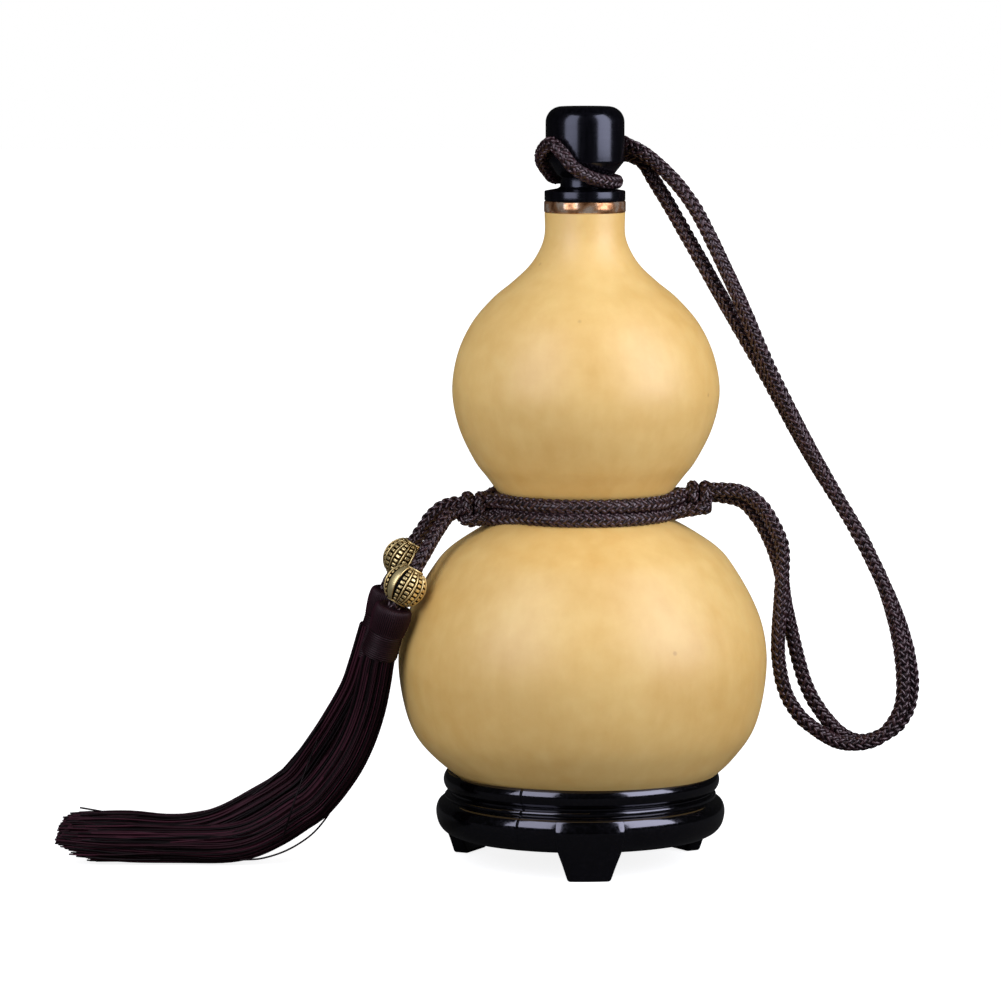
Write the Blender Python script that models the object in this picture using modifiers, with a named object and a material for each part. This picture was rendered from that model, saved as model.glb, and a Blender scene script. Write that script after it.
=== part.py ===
"""A dried bottle gourd with a turned stopper, a doubled braided cord with two
tassels, and a small round lacquered stand.

Metres, +Z up. The origin is on the surface that the stand stands on, under the
gourd's axis. The gourd, its mouth ring and its stopper are turned round that
axis. -Y is the front, +X the side where the cord hangs in a long loop, and -X
the side where the tassels lie.
"""

import math

import bmesh
import bpy
from mathutils import Vector

MM = 0.001

# Room left between pieces that touch on the real thing.
GAP = 0.3 * MM

# The gourd: radius and height of its outline, from the mouth to the foot.
# The waist is a snug groove that the cord lies in.
GOURD_SIDES = 40
GOURD_UPPER_BULB = [
    (7.75, 125.4),
    (7.75, 121.5),
    (8.7, 118.5),
    (10.7, 115.4),
    (14.0, 112.3),
    (17.8, 109.2),
    (21.8, 104.5),
    (24.7, 98.3),
    (25.8, 91.3),
    (24.4, 84.3),
    (21.4, 78.1),
    (18.9, 74.8),
    (16.9, 72.15),
]
GOURD_WAIST = [(15.3, 71.8), (14.75, 71.0), (14.7, 67.5), (15.4, 66.75)]
GOURD_LOWER_BULB = [
    (17.3, 66.3),
    (21.0, 64.2),
    (25.6, 61.1),
    (28.5, 58.0),
    (32.3, 51.8),
    (34.8, 45.6),
    (35.7, 39.0),
    (34.8, 31.6),
    (32.8, 25.4),
    (29.4, 20.6),
    (26.3, 17.6),
    (22.5, 15.0),
    (17.0, 12.9),
    (9.5, 11.6),
    (0.0, 11.3),
]
MOUTH_BORE_RADIUS = 4.9 * MM
MOUTH_BORE_DEPTH = 14.0 * MM

# The metal ring on the mouth.
RING_RADIUS = 7.8 * MM
RING_BOTTOM = 125.7 * MM
RING_TOP = 127.6 * MM
RING_EDGE = 0.15 * MM

# The stopper: knob, cone, neck, flange and the plug in the neck of the gourd.
STOPPER_SIDES = 32
STOPPER_TOP = 146.0 * MM
STOPPER_FILLET = 0.4 * MM
FLANGE_EDGE = 0.15 * MM
KNOB_RADIUS = 7.57 * MM
KNOB_CORNER = 3.05 * MM
KNOB_BOTTOM = 135.5 * MM
CONE_FOOT = (5.5 * MM, 132.9 * MM)
NECK_RADIUS = 4.75 * MM
FLANGE_TOP = (5.3 * MM, 130.3 * MM)
FLANGE_RADIUS = 7.78 * MM
FLANGE_SHOULDER = 129.8 * MM
FLANGE_BOTTOM = 127.9 * MM
PLUG_RADIUS = 4.5 * MM
PLUG_BOTTOM = 112.0 * MM
PLUG_CHAMFER = 0.8 * MM

# The stand, whose middle is a little left of the gourd's axis.
STAND_SIDES = 40
STAND_X = -0.7 * MM
UPPER_ROLL_MIDDLE = (24.6 * MM, 15.75 * MM)
UPPER_ROLL_RADIUS = 2.15 * MM
STAND_GROOVE = [(25.55, 13.5), (25.55, 13.0)]
LOWER_ROLL = [(26.5, 12.75), (27.55, 11.7), (28.0, 9.9), (27.6, 7.7), (26.6, 6.3), (25.2, 5.5)]
STAND_BOTTOM = 5.5 * MM
SEAT_TOP = 26.0 * MM

# Three feet, housed in the lower roll. Each row is height, distance of the
# outer face from the stand's middle, and width.
FOOT_LEVELS = [(0.0, 25.9, 8.7), (6.1, 27.3, 12.2), (11.5, 28.5, 13.5)]
FOOT_THICKNESS = 2.8 * MM
FOOT_EDGE = 0.35 * MM
FRONT_FOOT_DEGREES = -86.0
FOOT_NAMES = ("stand_foot_front", "stand_foot_right", "stand_foot_left")

# The cord: its free strands, the tighter loops, and the drops to the tassels.
CORD_DIAMETER = 2.9 * MM
TIGHT_CORD_DIAMETER = 2.4 * MM
DROP_DIAMETER = 2.7 * MM
FREE_CORD_STEP = 2.0 * CORD_DIAMETER
TIGHT_CORD_STEP = 1.8 * MM
WAIST_RADIUS = 16.35 * MM
WAIST_HEIGHTS = {"waist_cord_upper": 70.58 * MM, "waist_cord_lower": 67.92 * MM}
WAIST_POINTS = 40

# Where the cord runs, in millimetres. The hitch goes once round the stopper's
# neck, from the lower strand to the upper one.
HITCH_ROUTE = [
    (8.9, 10.2, 136.2),
    (5.4, 11.0, 136.5),
    (1.6, 10.2, 135.2),
    (-2.2, 8.6, 133.8),
    (-4.9, 6.0, 132.3),
    (-6.6, 3.4, 132.5),
    (-7.9, 1.2, 133.9),
    (-8.9, -0.9, 135.8),
    (-8.6, -3.2, 137.8),
    (-6.7, -6.3, 139.4),
    (-4.5, -8.0, 137.3),
    (-2.5, -8.5, 134.8),
    (0.4, -7.5, 132.9),
    (3.4, -5.7, 131.9),
    (5.5, -2.7, 131.6),
    (6.1, 1.0, 131.6),
    (4.4, 4.6, 131.9),
    (1.6, 6.4, 131.6),
    (-0.6, 8.9, 131.3),
    (-0.8, 12.2, 132.6),
    (0.8, 13.5, 135.2),
    (3.4, 12.9, 138.3),
    (6.2, 10.2, 139.3),
    (8.8, 7.3, 138.1),
]
STRAND_A_ROUTE = [
    (8.8, 7.3, 138.1),
    (10.8, 6.1, 137.2),
    (13.8, 5.8, 135.0),
    (17.2, 4.4, 131.7),
    (19.8, 3.2, 128.5),
    (22.3, 2.0, 124.5),
    (26.2, 0.1, 116.5),
    (30.5, -1.2, 107.2),
    (35.6, -1.5, 95.5),
    (43.5, -1.5, 80.0),
    (52.4, -1.5, 64.5),
    (55.5, -1.5, 58.7),
    (58.1, -1.5, 52.9),
    (59.9, -1.5, 47.0),
    (61.1, -1.5, 41.2),
    (61.7, -1.5, 35.4),
    (61.5, -1.5, 31.1),
    (60.3, -1.5, 27.7),
    (57.7, -1.5, 24.5),
    (53.8, -1.5, 23.0),
    (49.2, -1.5, 23.3),
    (45.0, -1.5, 25.6),
    (41.6, -1.5, 28.5),
    (38.9, -1.5, 33.0),
    (37.6, -1.5, 38.9),
    (37.5, -1.5, 44.7),
    (38.3, -1.5, 58.7),
    (37.5, -1.5, 63.3),
    (35.1, -1.5, 67.9),
    (32.6, -1.5, 70.6),
    (29.5, -1.5, 72.1),
    (25.0, -1.5, 72.35),
]
STRAND_B_ROUTE = [
    (8.9, 10.2, 136.2),
    (11.3, 9.1, 135.0),
    (13.8, 7.5, 131.0),
    (16.3, 6.0, 127.0),
    (21.6, 3.6, 117.7),
    (27.7, 2.0, 107.0),
    (34.5, 1.5, 95.2),
    (43.1, 1.5, 79.7),
    (52.7, 1.5, 64.2),
    (55.7, 1.5, 58.4),
    (58.5, 1.5, 52.5),
    (60.9, 1.5, 46.7),
    (62.7, 1.5, 40.8),
    (63.6, 1.5, 34.9),
    (63.1, 1.5, 30.1),
    (61.1, 1.5, 26.4),
    (57.9, 1.5, 24.1),
    (54.0, 1.5, 23.0),
    (50.5, 1.5, 24.1),
    (47.2, 1.5, 27.2),
    (44.0, 1.5, 32.0),
    (41.8, 1.5, 37.9),
    (39.0, 1.5, 49.8),
    (38.2, 1.5, 55.3),
    (37.0, 1.5, 59.5),
    (34.9, 1.5, 64.4),
    (32.2, 1.5, 68.3),
    (29.7, 1.45, 70.2),
    (25.2, 1.3, 71.0),
]
DROP_FRONT_ROUTE = [
    (-25.0, -4.6, 68.3),
    (-26.4, -5.8, 67.6),
    (-27.6, -7.4, 66.1),
    (-28.9, -9.0, 64.2),
    (-30.3, -10.4, 61.8),
    (-31.6, -11.4, 59.6),
    (-32.9, -12.0, 57.4),
    (-34.4, -12.4, 55.0),
    (-35.6, -12.65, 53.0),
    (-36.5, -12.7, 50.9),
    (-37.0, -12.1, 48.0),
    (-37.5, -11.5, 45.2),
]
DROP_BACK_ROUTE = [
    (-25.0, -1.7, 69.7),
    (-26.4, -1.8, 69.4),
    (-27.9, -2.2, 68.7),
    (-29.6, -2.8, 67.2),
    (-30.9, -3.4, 65.3),
    (-32.3, -3.8, 63.2),
    (-33.4, -4.0, 61.3),
    (-34.7, -4.0, 59.2),
    (-36.2, -3.9, 56.9),
    (-37.5, -3.8, 54.8),
    (-38.6, -3.35, 51.9),
    (-39.6, -2.95, 49.2),
]

# A knot is a barrel of two turns: distance along it, and radius.
KNOT_OUTLINE = [
    (2.5, 0.0),
    (2.5, 2.2),
    (2.1, 3.1),
    (1.3, 3.5),
    (0.45, 3.15),
    (-0.45, 3.15),
    (-1.3, 3.5),
    (-2.1, 3.1),
    (-2.5, 2.3),
    (-3.6, 2.0),
    (-3.6, 0.0),
]
KNOT_SIDES = 16
KNOTS = {
    "knot_right": ((22.2, -0.2, 70.6), (1.0, 0.0, 0.16), 1.0),
    "knot_left": ((-21.9, -3.0, 68.6), (-1.0, -0.08, 0.06), 0.93),
}

# A bead is a ball with a bore, threaded on its drop.
BEAD_RADIUS = 4.15 * MM
BEAD_BORE = 1.75 * MM
BEAD_SIDES = 20
BEADS = {
    "bead_front": ((-34.4, -12.4, 55.0), (-0.49, -0.10, -0.866)),
    "bead_back": ((-34.7, -4.0, 59.2), (-0.517, 0.036, -0.855)),
}

# A tassel's head is a domed cap over a bound neck, with a socket for the cord:
# distance down from the top, and radius.
HEAD_OUTLINE = [
    (0.0, 2.2),
    (0.3, 2.8),
    (1.2, 3.4),
    (2.8, 3.65),
    (4.4, 3.6),
    (5.2, 3.25),
    (6.0, 3.3),
    (9.2, 3.55),
    (10.1, 3.45),
    (10.1, 0.0),
]
HEAD_SIDES = 16
SOCKET_RADIUS = 1.8 * MM
SOCKET_DEPTH = 6.8 * MM
HEADS = {
    "tassel_head_front": ((-36.45, -12.7, 51.0), (-0.18, 0.2, -0.96)),
    "tassel_head_back": ((-37.5, -3.8, 54.8), (-0.36, 0.14, -0.92)),
}

# A tassel's skirt: middle of each section, then half its width from front to
# back and half its thickness.
SKIRT_SIDES = 14
SKIRTS = {
    "tassel_skirt_front": [
        (-38.4, -10.5, 40.8, 3.2, 3.3),
        (-40.1, -9.3, 34.4, 3.3, 3.4),
        (-42.6, -8.5, 27.5, 3.5, 3.6),
        (-46.5, -7.8, 20.3, 3.7, 3.9),
        (-52.0, -7.0, 13.6, 3.9, 4.2),
        (-59.7, -6.2, 8.2, 4.1, 4.3),
        (-68.5, -5.4, 5.2, 4.2, 4.3),
        (-79.1, -4.9, 4.2, 4.3, 4.2),
        (-90.0, -4.7, 3.9, 4.2, 3.9),
        (-101.5, -4.4, 3.2, 3.5, 2.9),
    ],
    "tassel_skirt_back": [
        (-41.2, -2.3, 45.0, 3.2, 3.3),
        (-43.2, -1.5, 36.8, 3.3, 3.4),
        (-46.0, -0.5, 29.8, 3.5, 3.6),
        (-50.2, 0.8, 22.5, 3.7, 3.9),
        (-55.9, 2.0, 15.8, 3.9, 4.2),
        (-63.6, 3.2, 10.0, 4.1, 4.3),
        (-72.4, 4.1, 6.3, 4.2, 4.3),
        (-81.6, 4.7, 4.6, 4.3, 4.3),
        (-91.4, 4.7, 4.2, 4.2, 4.1),
        (-102.0, 4.6, 3.6, 3.5, 3.2),
    ],
}

# Colour, roughness and metallic value of each material.
FINISHES = {
    "gourd_skin": ((0.78, 0.58, 0.27), 0.55, 0.0),
    "rose_gold": ((0.72, 0.45, 0.30), 0.25, 1.0),
    "black_wood": ((0.01, 0.01, 0.014), 0.35, 0.0),
    "black_lacquer": ((0.006, 0.006, 0.008), 0.12, 0.0),
    "brown_cord": ((0.045, 0.022, 0.024), 0.7, 0.0),
    "old_brass": ((0.45, 0.33, 0.13), 0.35, 1.0),
    "burgundy_thread": ((0.03, 0.012, 0.018), 0.6, 0.0),
}


def material(name):
    """The Principled material of this name, made on first use."""
    found = bpy.data.materials.get(name)
    if found:
        return found
    colour, roughness, metallic = FINISHES[name]
    made = bpy.data.materials.new(name)
    made.use_nodes = True
    shader = made.node_tree.nodes["Principled BSDF"]
    shader.inputs["Base Color"].default_value = (*colour, 1.0)
    shader.inputs["Roughness"].default_value = roughness
    shader.inputs["Metallic"].default_value = metallic
    made.diffuse_color = (*colour, 1.0)
    return made


def collection(name):
    """The collection of this name, made on first use."""
    found = bpy.data.collections.get(name)
    if not found:
        found = bpy.data.collections.new(name)
        bpy.context.scene.collection.children.link(found)
    return found


def add_object(name, data, finish=None):
    """A new object, in the object's collection if it has a finish and else among the cutters."""
    made = bpy.data.objects.new(name, data)
    if finish:
        collection("bottle_gourd").objects.link(made)
        data.materials.append(material(finish))
    else:
        collection("cutters").objects.link(made)
        made.hide_render = True
        made.display_type = "WIRE"
    return made


def smooth(points, steps):
    """Points on a smooth curve through these ones, with this many steps from each to the next."""
    at = [Vector(p) for p in points]
    ends = [2 * at[0] - at[1], *at, 2 * at[-1] - at[-2]]
    curve = []
    for before, start, stop, after in zip(ends, ends[1:], ends[2:], ends[3:]):
        for step in range(steps):
            t = step / steps
            curve.append(
                0.5
                * (
                    2 * start
                    + (stop - before) * t
                    + (2 * before - 5 * start + 4 * stop - after) * t**2
                    + (3 * start - before - 3 * stop + after) * t**3
                )
            )
    return [*curve, at[-1]]


def evenly(points, gap):
    """The same path with points about this far apart."""
    lengths = [(b - a).length for a, b in zip(points, points[1:])]
    count = max(2, round(sum(lengths) / gap))
    spaced = [points[0]]
    passed = 0.0
    for a, b, length in zip(points, points[1:], lengths):
        while len(spaced) < count and passed + length >= len(spaced) * sum(lengths) / count:
            share = (len(spaced) * sum(lengths) / count - passed) / length
            spaced.append(a.lerp(b, share))
        passed += length
    return [*spaced, points[-1]]


def arc(middle, radius, start, stop, steps):
    """Points on an arc, from one angle in degrees to another."""
    angles = [math.radians(start + (stop - start) * i / steps) for i in range(steps + 1)]
    return [(middle[0] + radius * math.cos(a), middle[1] + radius * math.sin(a)) for a in angles]


def turned(name, outline, sides, finish=None):
    """A solid turned round local Z, from radius and height, listed from the top down its outside."""
    mesh = bpy.data.meshes.new(name)
    count = len(outline)
    mesh.from_pydata([(r, 0.0, z) for r, z in outline], [(i, i + 1) for i in range(count - 1)], [])
    made = add_object(name, mesh, finish)
    screw = made.modifiers.new("turn", "SCREW")
    screw.steps = sides
    screw.render_steps = sides
    screw.use_merge_vertices = True
    screw.merge_threshold = 0.00001
    screw.use_smooth_shade = True
    return made


def aim(made, place, direction):
    """Puts a turned piece at a place given in millimetres, with its local Z along a direction."""
    made.location = Vector(place) * MM
    made.rotation_euler = Vector(direction).to_track_quat("Z", "Y").to_euler()


def tube(name, path, diameter, closed=False):
    """A round cord along a path given in metres."""
    curve = bpy.data.curves.new(name, "CURVE")
    curve.dimensions = "3D"
    curve.bevel_depth = diameter / 2
    curve.bevel_resolution = 2
    curve.use_fill_caps = not closed
    spline = curve.splines.new("POLY")
    spline.points.add(len(path) - 1)
    for point, place in zip(spline.points, path):
        point.co = (*place, 1.0)
    spline.use_cyclic_u = closed
    return add_object(name, curve, "brown_cord")


def cord_path(route, step, trim=0.0):
    """Evenly spaced points along a route given in millimetres, with its ends drawn back."""
    path = evenly([p * MM for p in smooth(route, 8)], step)
    path[0] = path[0] + (path[1] - path[0]).normalized() * trim
    path[-1] = path[-1] + (path[-2] - path[-1]).normalized() * trim
    return path


def gourd_outline():
    """Radius and height down the gourd's outside, in metres."""
    upper = smooth([(r, 0.0, z) for r, z in GOURD_UPPER_BULB], 2)
    lower = smooth([(r, 0.0, z) for r, z in GOURD_LOWER_BULB], 2)
    outside = [(p.x, p.z) for p in upper] + GOURD_WAIST + [(p.x, p.z) for p in lower]
    return [(max(r, 0.0) * MM, z * MM) for r, z in outside]


def build_gourd():
    mouth = GOURD_UPPER_BULB[0][1] * MM
    bore = [(0.0, mouth - MOUTH_BORE_DEPTH), (MOUTH_BORE_RADIUS, mouth - MOUTH_BORE_DEPTH)]
    rim = [(MOUTH_BORE_RADIUS, mouth)]
    turned("gourd", bore + rim + gourd_outline(), GOURD_SIDES, "gourd_skin")


def build_mouth_ring():
    inner = MOUTH_BORE_RADIUS
    outline = [
        (inner, RING_TOP),
        (RING_RADIUS - RING_EDGE, RING_TOP),
        (RING_RADIUS, RING_TOP - RING_EDGE),
        (RING_RADIUS, RING_BOTTOM + RING_EDGE),
        (RING_RADIUS - RING_EDGE, RING_BOTTOM),
        (inner, RING_BOTTOM),
        (inner, RING_TOP),
    ]
    turned("mouth_ring", outline, STOPPER_SIDES, "rose_gold")


def build_stopper():
    corner = (KNOB_RADIUS - KNOB_CORNER, STOPPER_TOP - KNOB_CORNER)
    outline = [
        (0.0, STOPPER_TOP),
        *arc(corner, KNOB_CORNER, 90, 0, 5),
        (KNOB_RADIUS, KNOB_BOTTOM),
        CONE_FOOT,
        (NECK_RADIUS, CONE_FOOT[1] - STOPPER_FILLET),
        (NECK_RADIUS, FLANGE_TOP[1] + STOPPER_FILLET),
        FLANGE_TOP,
        (FLANGE_RADIUS - FLANGE_EDGE, FLANGE_SHOULDER + FLANGE_EDGE),
        (FLANGE_RADIUS, FLANGE_SHOULDER - FLANGE_EDGE),
        (FLANGE_RADIUS, FLANGE_BOTTOM),
        (PLUG_RADIUS, FLANGE_BOTTOM),
        (PLUG_RADIUS, PLUG_BOTTOM + PLUG_CHAMFER),
        (PLUG_RADIUS - PLUG_CHAMFER, PLUG_BOTTOM),
        (0.0, PLUG_BOTTOM),
    ]
    turned("stopper", outline, STOPPER_SIDES, "black_wood")


def seat_outline():
    """The gourd's underside moved outwards by the gap, closed above the stand."""
    underside = [p for p in gourd_outline() if p[1] < SEAT_TOP]
    moved = []
    for i, (radius, height) in enumerate(underside):
        before = Vector(underside[max(i - 1, 0)])
        after = Vector(underside[min(i + 1, len(underside) - 1)])
        along = (after - before).normalized()
        moved.append((radius - along.y * GAP, height + along.x * GAP))
    top = moved[0]
    bottom = (0.0, moved[-1][1])
    return [(0.0, top[1]), top, *moved[1:-1], bottom]


def foot_mesh(name, grow):
    """One foot standing on z = 0 with its outer face towards +X, made larger all round by grow."""
    mesh = bpy.data.meshes.new(name)
    shape = bmesh.new()
    rings = []
    for level, (height, reach, width) in enumerate(FOOT_LEVELS):
        outer = reach * MM + grow
        inner = reach * MM - FOOT_THICKNESS - grow
        half = width * MM / 2 + grow
        z = height * MM + grow * (level - 1)
        corners = [(inner, -half), (outer, -half), (outer, half), (inner, half)]
        rings.append([shape.verts.new((x, y, z)) for x, y in corners])
    shape.faces.new(reversed(rings[0]))
    shape.faces.new(rings[-1])
    for low, high in zip(rings, rings[1:]):
        for i in range(4):
            j = (i + 1) % 4
            shape.faces.new((low[i], low[j], high[j], high[i]))
    shape.to_mesh(mesh)
    shape.free()
    return mesh


def build_stand():
    roll = arc(UPPER_ROLL_MIDDLE, UPPER_ROLL_RADIUS, 90, -55, 7)
    side = [(r * MM, z * MM) for r, z in STAND_GROOVE + LOWER_ROLL]
    outline = [(0.0, roll[0][1]), *roll, *side, (0.0, STAND_BOTTOM)]
    stand = turned("stand_ring", outline, STAND_SIDES, "black_lacquer")
    stand.location.x = STAND_X
    seat = turned("seat_cutter", seat_outline(), GOURD_SIDES)
    cutters = [seat]
    for i, name in enumerate(FOOT_NAMES):
        turn = math.radians(FRONT_FOOT_DEGREES + 120 * i)
        foot = add_object(name, foot_mesh(name, 0.0), "black_lacquer")
        housing = add_object(name + "_housing", foot_mesh(name + "_housing", GAP))
        for piece in (foot, housing):
            piece.location.x = STAND_X
            piece.rotation_euler.z = turn
        bevel = foot.modifiers.new("edges", "BEVEL")
        bevel.width = FOOT_EDGE
        bevel.segments = 2
        bevel.limit_method = "ANGLE"
        cutters.append(housing)
    for cutter in cutters:
        cut = stand.modifiers.new("cut_" + cutter.name, "BOOLEAN")
        cut.operation = "DIFFERENCE"
        cut.object = cutter


def build_cord():
    hitch = cord_path(HITCH_ROUTE, TIGHT_CORD_STEP, 2 * GAP)
    tube("cord_hitch", hitch, TIGHT_CORD_DIAMETER)
    for name, route in (("cord_strand_a", STRAND_A_ROUTE), ("cord_strand_b", STRAND_B_ROUTE)):
        tube(name, cord_path(route, FREE_CORD_STEP), CORD_DIAMETER)
    for name, route in (("cord_drop_front", DROP_FRONT_ROUTE), ("cord_drop_back", DROP_BACK_ROUTE)):
        tube(name, cord_path(route, TIGHT_CORD_STEP), DROP_DIAMETER)
    turns = [math.tau * i / WAIST_POINTS for i in range(WAIST_POINTS)]
    for name, height in WAIST_HEIGHTS.items():
        ring = [(WAIST_RADIUS * math.cos(a), WAIST_RADIUS * math.sin(a), height) for a in turns]
        tube(name, ring, TIGHT_CORD_DIAMETER, closed=True)


def build_knots():
    for name, (place, direction, size) in KNOTS.items():
        outline = [(r * size * MM, along * size * MM) for along, r in KNOT_OUTLINE]
        aim(turned(name, outline, KNOT_SIDES, "brown_cord"), place, direction)


def build_beads():
    mouth = math.degrees(math.asin(BEAD_BORE / BEAD_RADIUS))
    ball = arc((0.0, 0.0), BEAD_RADIUS, 90 - mouth, mouth - 90, 10)
    for name, (place, direction) in BEADS.items():
        aim(turned(name, [*ball, ball[0]], BEAD_SIDES, "old_brass"), place, direction)


def build_tassels():
    for name, (place, direction) in HEADS.items():
        outside = [(r * MM, -down * MM) for down, r in HEAD_OUTLINE]
        socket = [(0.0, -SOCKET_DEPTH), (SOCKET_RADIUS, -SOCKET_DEPTH), (SOCKET_RADIUS, 0.0)]
        up = [-part for part in direction]
        aim(turned(name, socket + outside, HEAD_SIDES, "burgundy_thread"), place, up)
    for name, rows in SKIRTS.items():
        add_object(name, skirt_mesh(name, rows), "burgundy_thread")


def skirt_mesh(name, rows):
    """A loft of oval sections along a sweeping line, resting on z = 0 where it lies down."""
    middles = smooth([row[:3] for row in rows], 2)
    sizes = smooth([(row[3], row[4], 0.0) for row in rows], 2)
    mesh = bpy.data.meshes.new(name)
    shape = bmesh.new()
    rings = []
    for i, (middle, size) in enumerate(zip(middles, sizes)):
        along = (middles[min(i + 1, len(middles) - 1)] - middles[max(i - 1, 0)]).normalized()
        across = Vector((0.0, 1.0, 0.0))
        across = (across - across.dot(along) * along).normalized()
        through = along.cross(across)
        ring = []
        for side in range(SKIRT_SIDES):
            angle = math.tau * side / SKIRT_SIDES
            place = middle + across * size.x * math.cos(angle) + through * size.y * math.sin(angle)
            place.z = max(place.z, 0.0)
            ring.append(shape.verts.new(place * MM))
        rings.append(ring)
    shape.faces.new(reversed(rings[0]))
    shape.faces.new(rings[-1])
    for first, second in zip(rings, rings[1:]):
        for i in range(SKIRT_SIDES):
            j = (i + 1) % SKIRT_SIDES
            shape.faces.new((first[i], first[j], second[j], second[i]))
    shape.to_mesh(mesh)
    shape.free()
    mesh.shade_smooth()
    return mesh


for leftover in list(bpy.data.objects):
    bpy.data.objects.remove(leftover, do_unlink=True)
build_gourd()
build_mouth_ring()
build_stopper()
build_stand()
build_cord()
build_knots()
build_beads()
build_tassels()
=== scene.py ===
import math

import bpy
from mathutils import Matrix, Vector, noise


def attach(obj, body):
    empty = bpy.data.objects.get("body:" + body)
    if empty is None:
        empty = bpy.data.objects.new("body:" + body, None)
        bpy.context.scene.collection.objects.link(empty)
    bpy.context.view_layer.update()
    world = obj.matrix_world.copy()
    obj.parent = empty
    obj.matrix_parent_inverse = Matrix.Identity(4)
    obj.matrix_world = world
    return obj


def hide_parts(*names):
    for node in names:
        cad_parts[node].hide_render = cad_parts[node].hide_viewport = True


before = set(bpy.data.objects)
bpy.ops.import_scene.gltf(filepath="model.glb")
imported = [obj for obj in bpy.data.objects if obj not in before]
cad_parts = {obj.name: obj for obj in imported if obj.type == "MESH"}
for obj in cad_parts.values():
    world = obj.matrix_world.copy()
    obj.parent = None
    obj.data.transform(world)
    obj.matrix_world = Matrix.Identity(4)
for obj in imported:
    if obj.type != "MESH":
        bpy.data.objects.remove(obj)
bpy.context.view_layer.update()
MM = 0.001

# The photographer's place: a long lens a metre off, a hand's breadth above the
# table and a little left of the gourd's axis, looking slightly down at it.
CAMERA_PLACE = Vector((-16.2 * MM, -1.0, 172.0 * MM))
CAMERA_AIM_HEIGHT = 70.1 * MM
CAMERA_LENS = 187.3
camera = bpy.data.objects.new("camera", bpy.data.cameras.new("camera"))
bpy.context.scene.collection.objects.link(camera)
camera.location = CAMERA_PLACE
camera.rotation_euler.x = math.pi / 2 - math.atan2(CAMERA_PLACE.z - CAMERA_AIM_HEIGHT, -CAMERA_PLACE.y)
camera.data.lens = CAMERA_LENS
camera.data.sensor_width = 36.0
bpy.context.scene.camera = camera
bpy.context.scene.view_settings.view_transform = "Standard"

# Two tall soft boxes stand close by, left and right of the camera, and end above
# the stand, so the undersides stay dark. The table shows plain white to the camera,
# with its glow a little weaker near the object, painted shade round its foot; to
# diffuse rays it glows faintly as painted bounce light, and to reflections it is grey.
LAMP_DISTANCE = 0.36
LAMP_LOW = 0.075
LAMP_HIGH = 0.62
LAMP_TINT = (0.86, 0.88, 1.0)
FILL_LIGHT = 0.42
FILL_MIRRORED = 0.012
TABLE_SPAN = 8.0
TABLE_BOUNCE = 0.30
TABLE_NEAR = 0.05
TABLE_FAR = 0.40
TABLE_NEAR_GLOW = 0.86
TABLE_PAINT = (200, 200, 200)
TABLE_SEEN_BY_LIGHT = (60, 60, 60)


def add(tree, kind, inlets=(), **settings):
    """A new node. Each input, by place or name, takes a value, another node or one of its outlets."""
    made = tree.nodes.new(kind)
    for name, value in settings.items():
        setattr(made, name, value)
    for place, value in dict(inlets).items():
        if isinstance(value, bpy.types.Node):
            value = next(outlet for outlet in value.outputs if outlet.enabled)
        if isinstance(value, bpy.types.NodeSocket):
            tree.links.new(value, made.inputs[place])
        else:
            made.inputs[place].default_value = value
    return made


def fitted(tree, value, low, high, start=0.0, stop=1.0):
    """Spreads a value that runs from start to stop over the span from low to high."""
    spans = {"From Min": start, "From Max": stop, "To Min": low, "To Max": high}
    return add(tree, "ShaderNodeMapRange", {"Value": value, **spans})


def vectors(tree, operation, *values):
    """A Vector Math node on these values."""
    return add(tree, "ShaderNodeVectorMath", enumerate(values), operation=operation)


def tint(red, green, blue):
    """A colour as it looks on a screen, from 0 to 255, as the shader takes it."""
    return (*((part / 255) ** 2.2 for part in (red, green, blue)), 1.0)


for lamp_name, lamp_azimuth, lamp_width, lamp_radiance in (
    ("softbox_left", -42.0, 0.245, 3.1),
    ("softbox_right", 58.0, 0.275, 4.6),
):
    lamp_data = bpy.data.lights.new(lamp_name, "AREA")
    lamp_data.shape = "RECTANGLE"
    lamp_data.size = lamp_width
    lamp_data.size_y = LAMP_HIGH - LAMP_LOW
    lamp_data.energy = lamp_radiance * math.pi * lamp_data.size * lamp_data.size_y
    lamp_data.color = LAMP_TINT
    lamp = bpy.data.objects.new(lamp_name, lamp_data)
    bpy.context.scene.collection.objects.link(lamp)
    lamp_turn = math.radians(lamp_azimuth)
    lamp_reach = Vector((math.sin(lamp_turn), -math.cos(lamp_turn), 0.0)) * LAMP_DISTANCE
    lamp.location = lamp_reach + Vector((0.0, 0.0, (LAMP_LOW + LAMP_HIGH) / 2))
    lamp.rotation_euler = (-lamp_reach).to_track_quat("-Z", "Y").to_euler()

world = bpy.data.worlds.new("studio")
bpy.context.scene.world = world
world.use_nodes = True
sky = world.node_tree
rays = add(sky, "ShaderNodeLightPath")
fill = fitted(sky, rays.outputs["Is Diffuse Ray"], FILL_MIRRORED, FILL_LIGHT)
world_grey = fitted(sky, rays.outputs["Is Camera Ray"], fill, 1.0)
sky.links.new(world_grey.outputs[0], sky.nodes["Background"].inputs["Color"])

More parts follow.
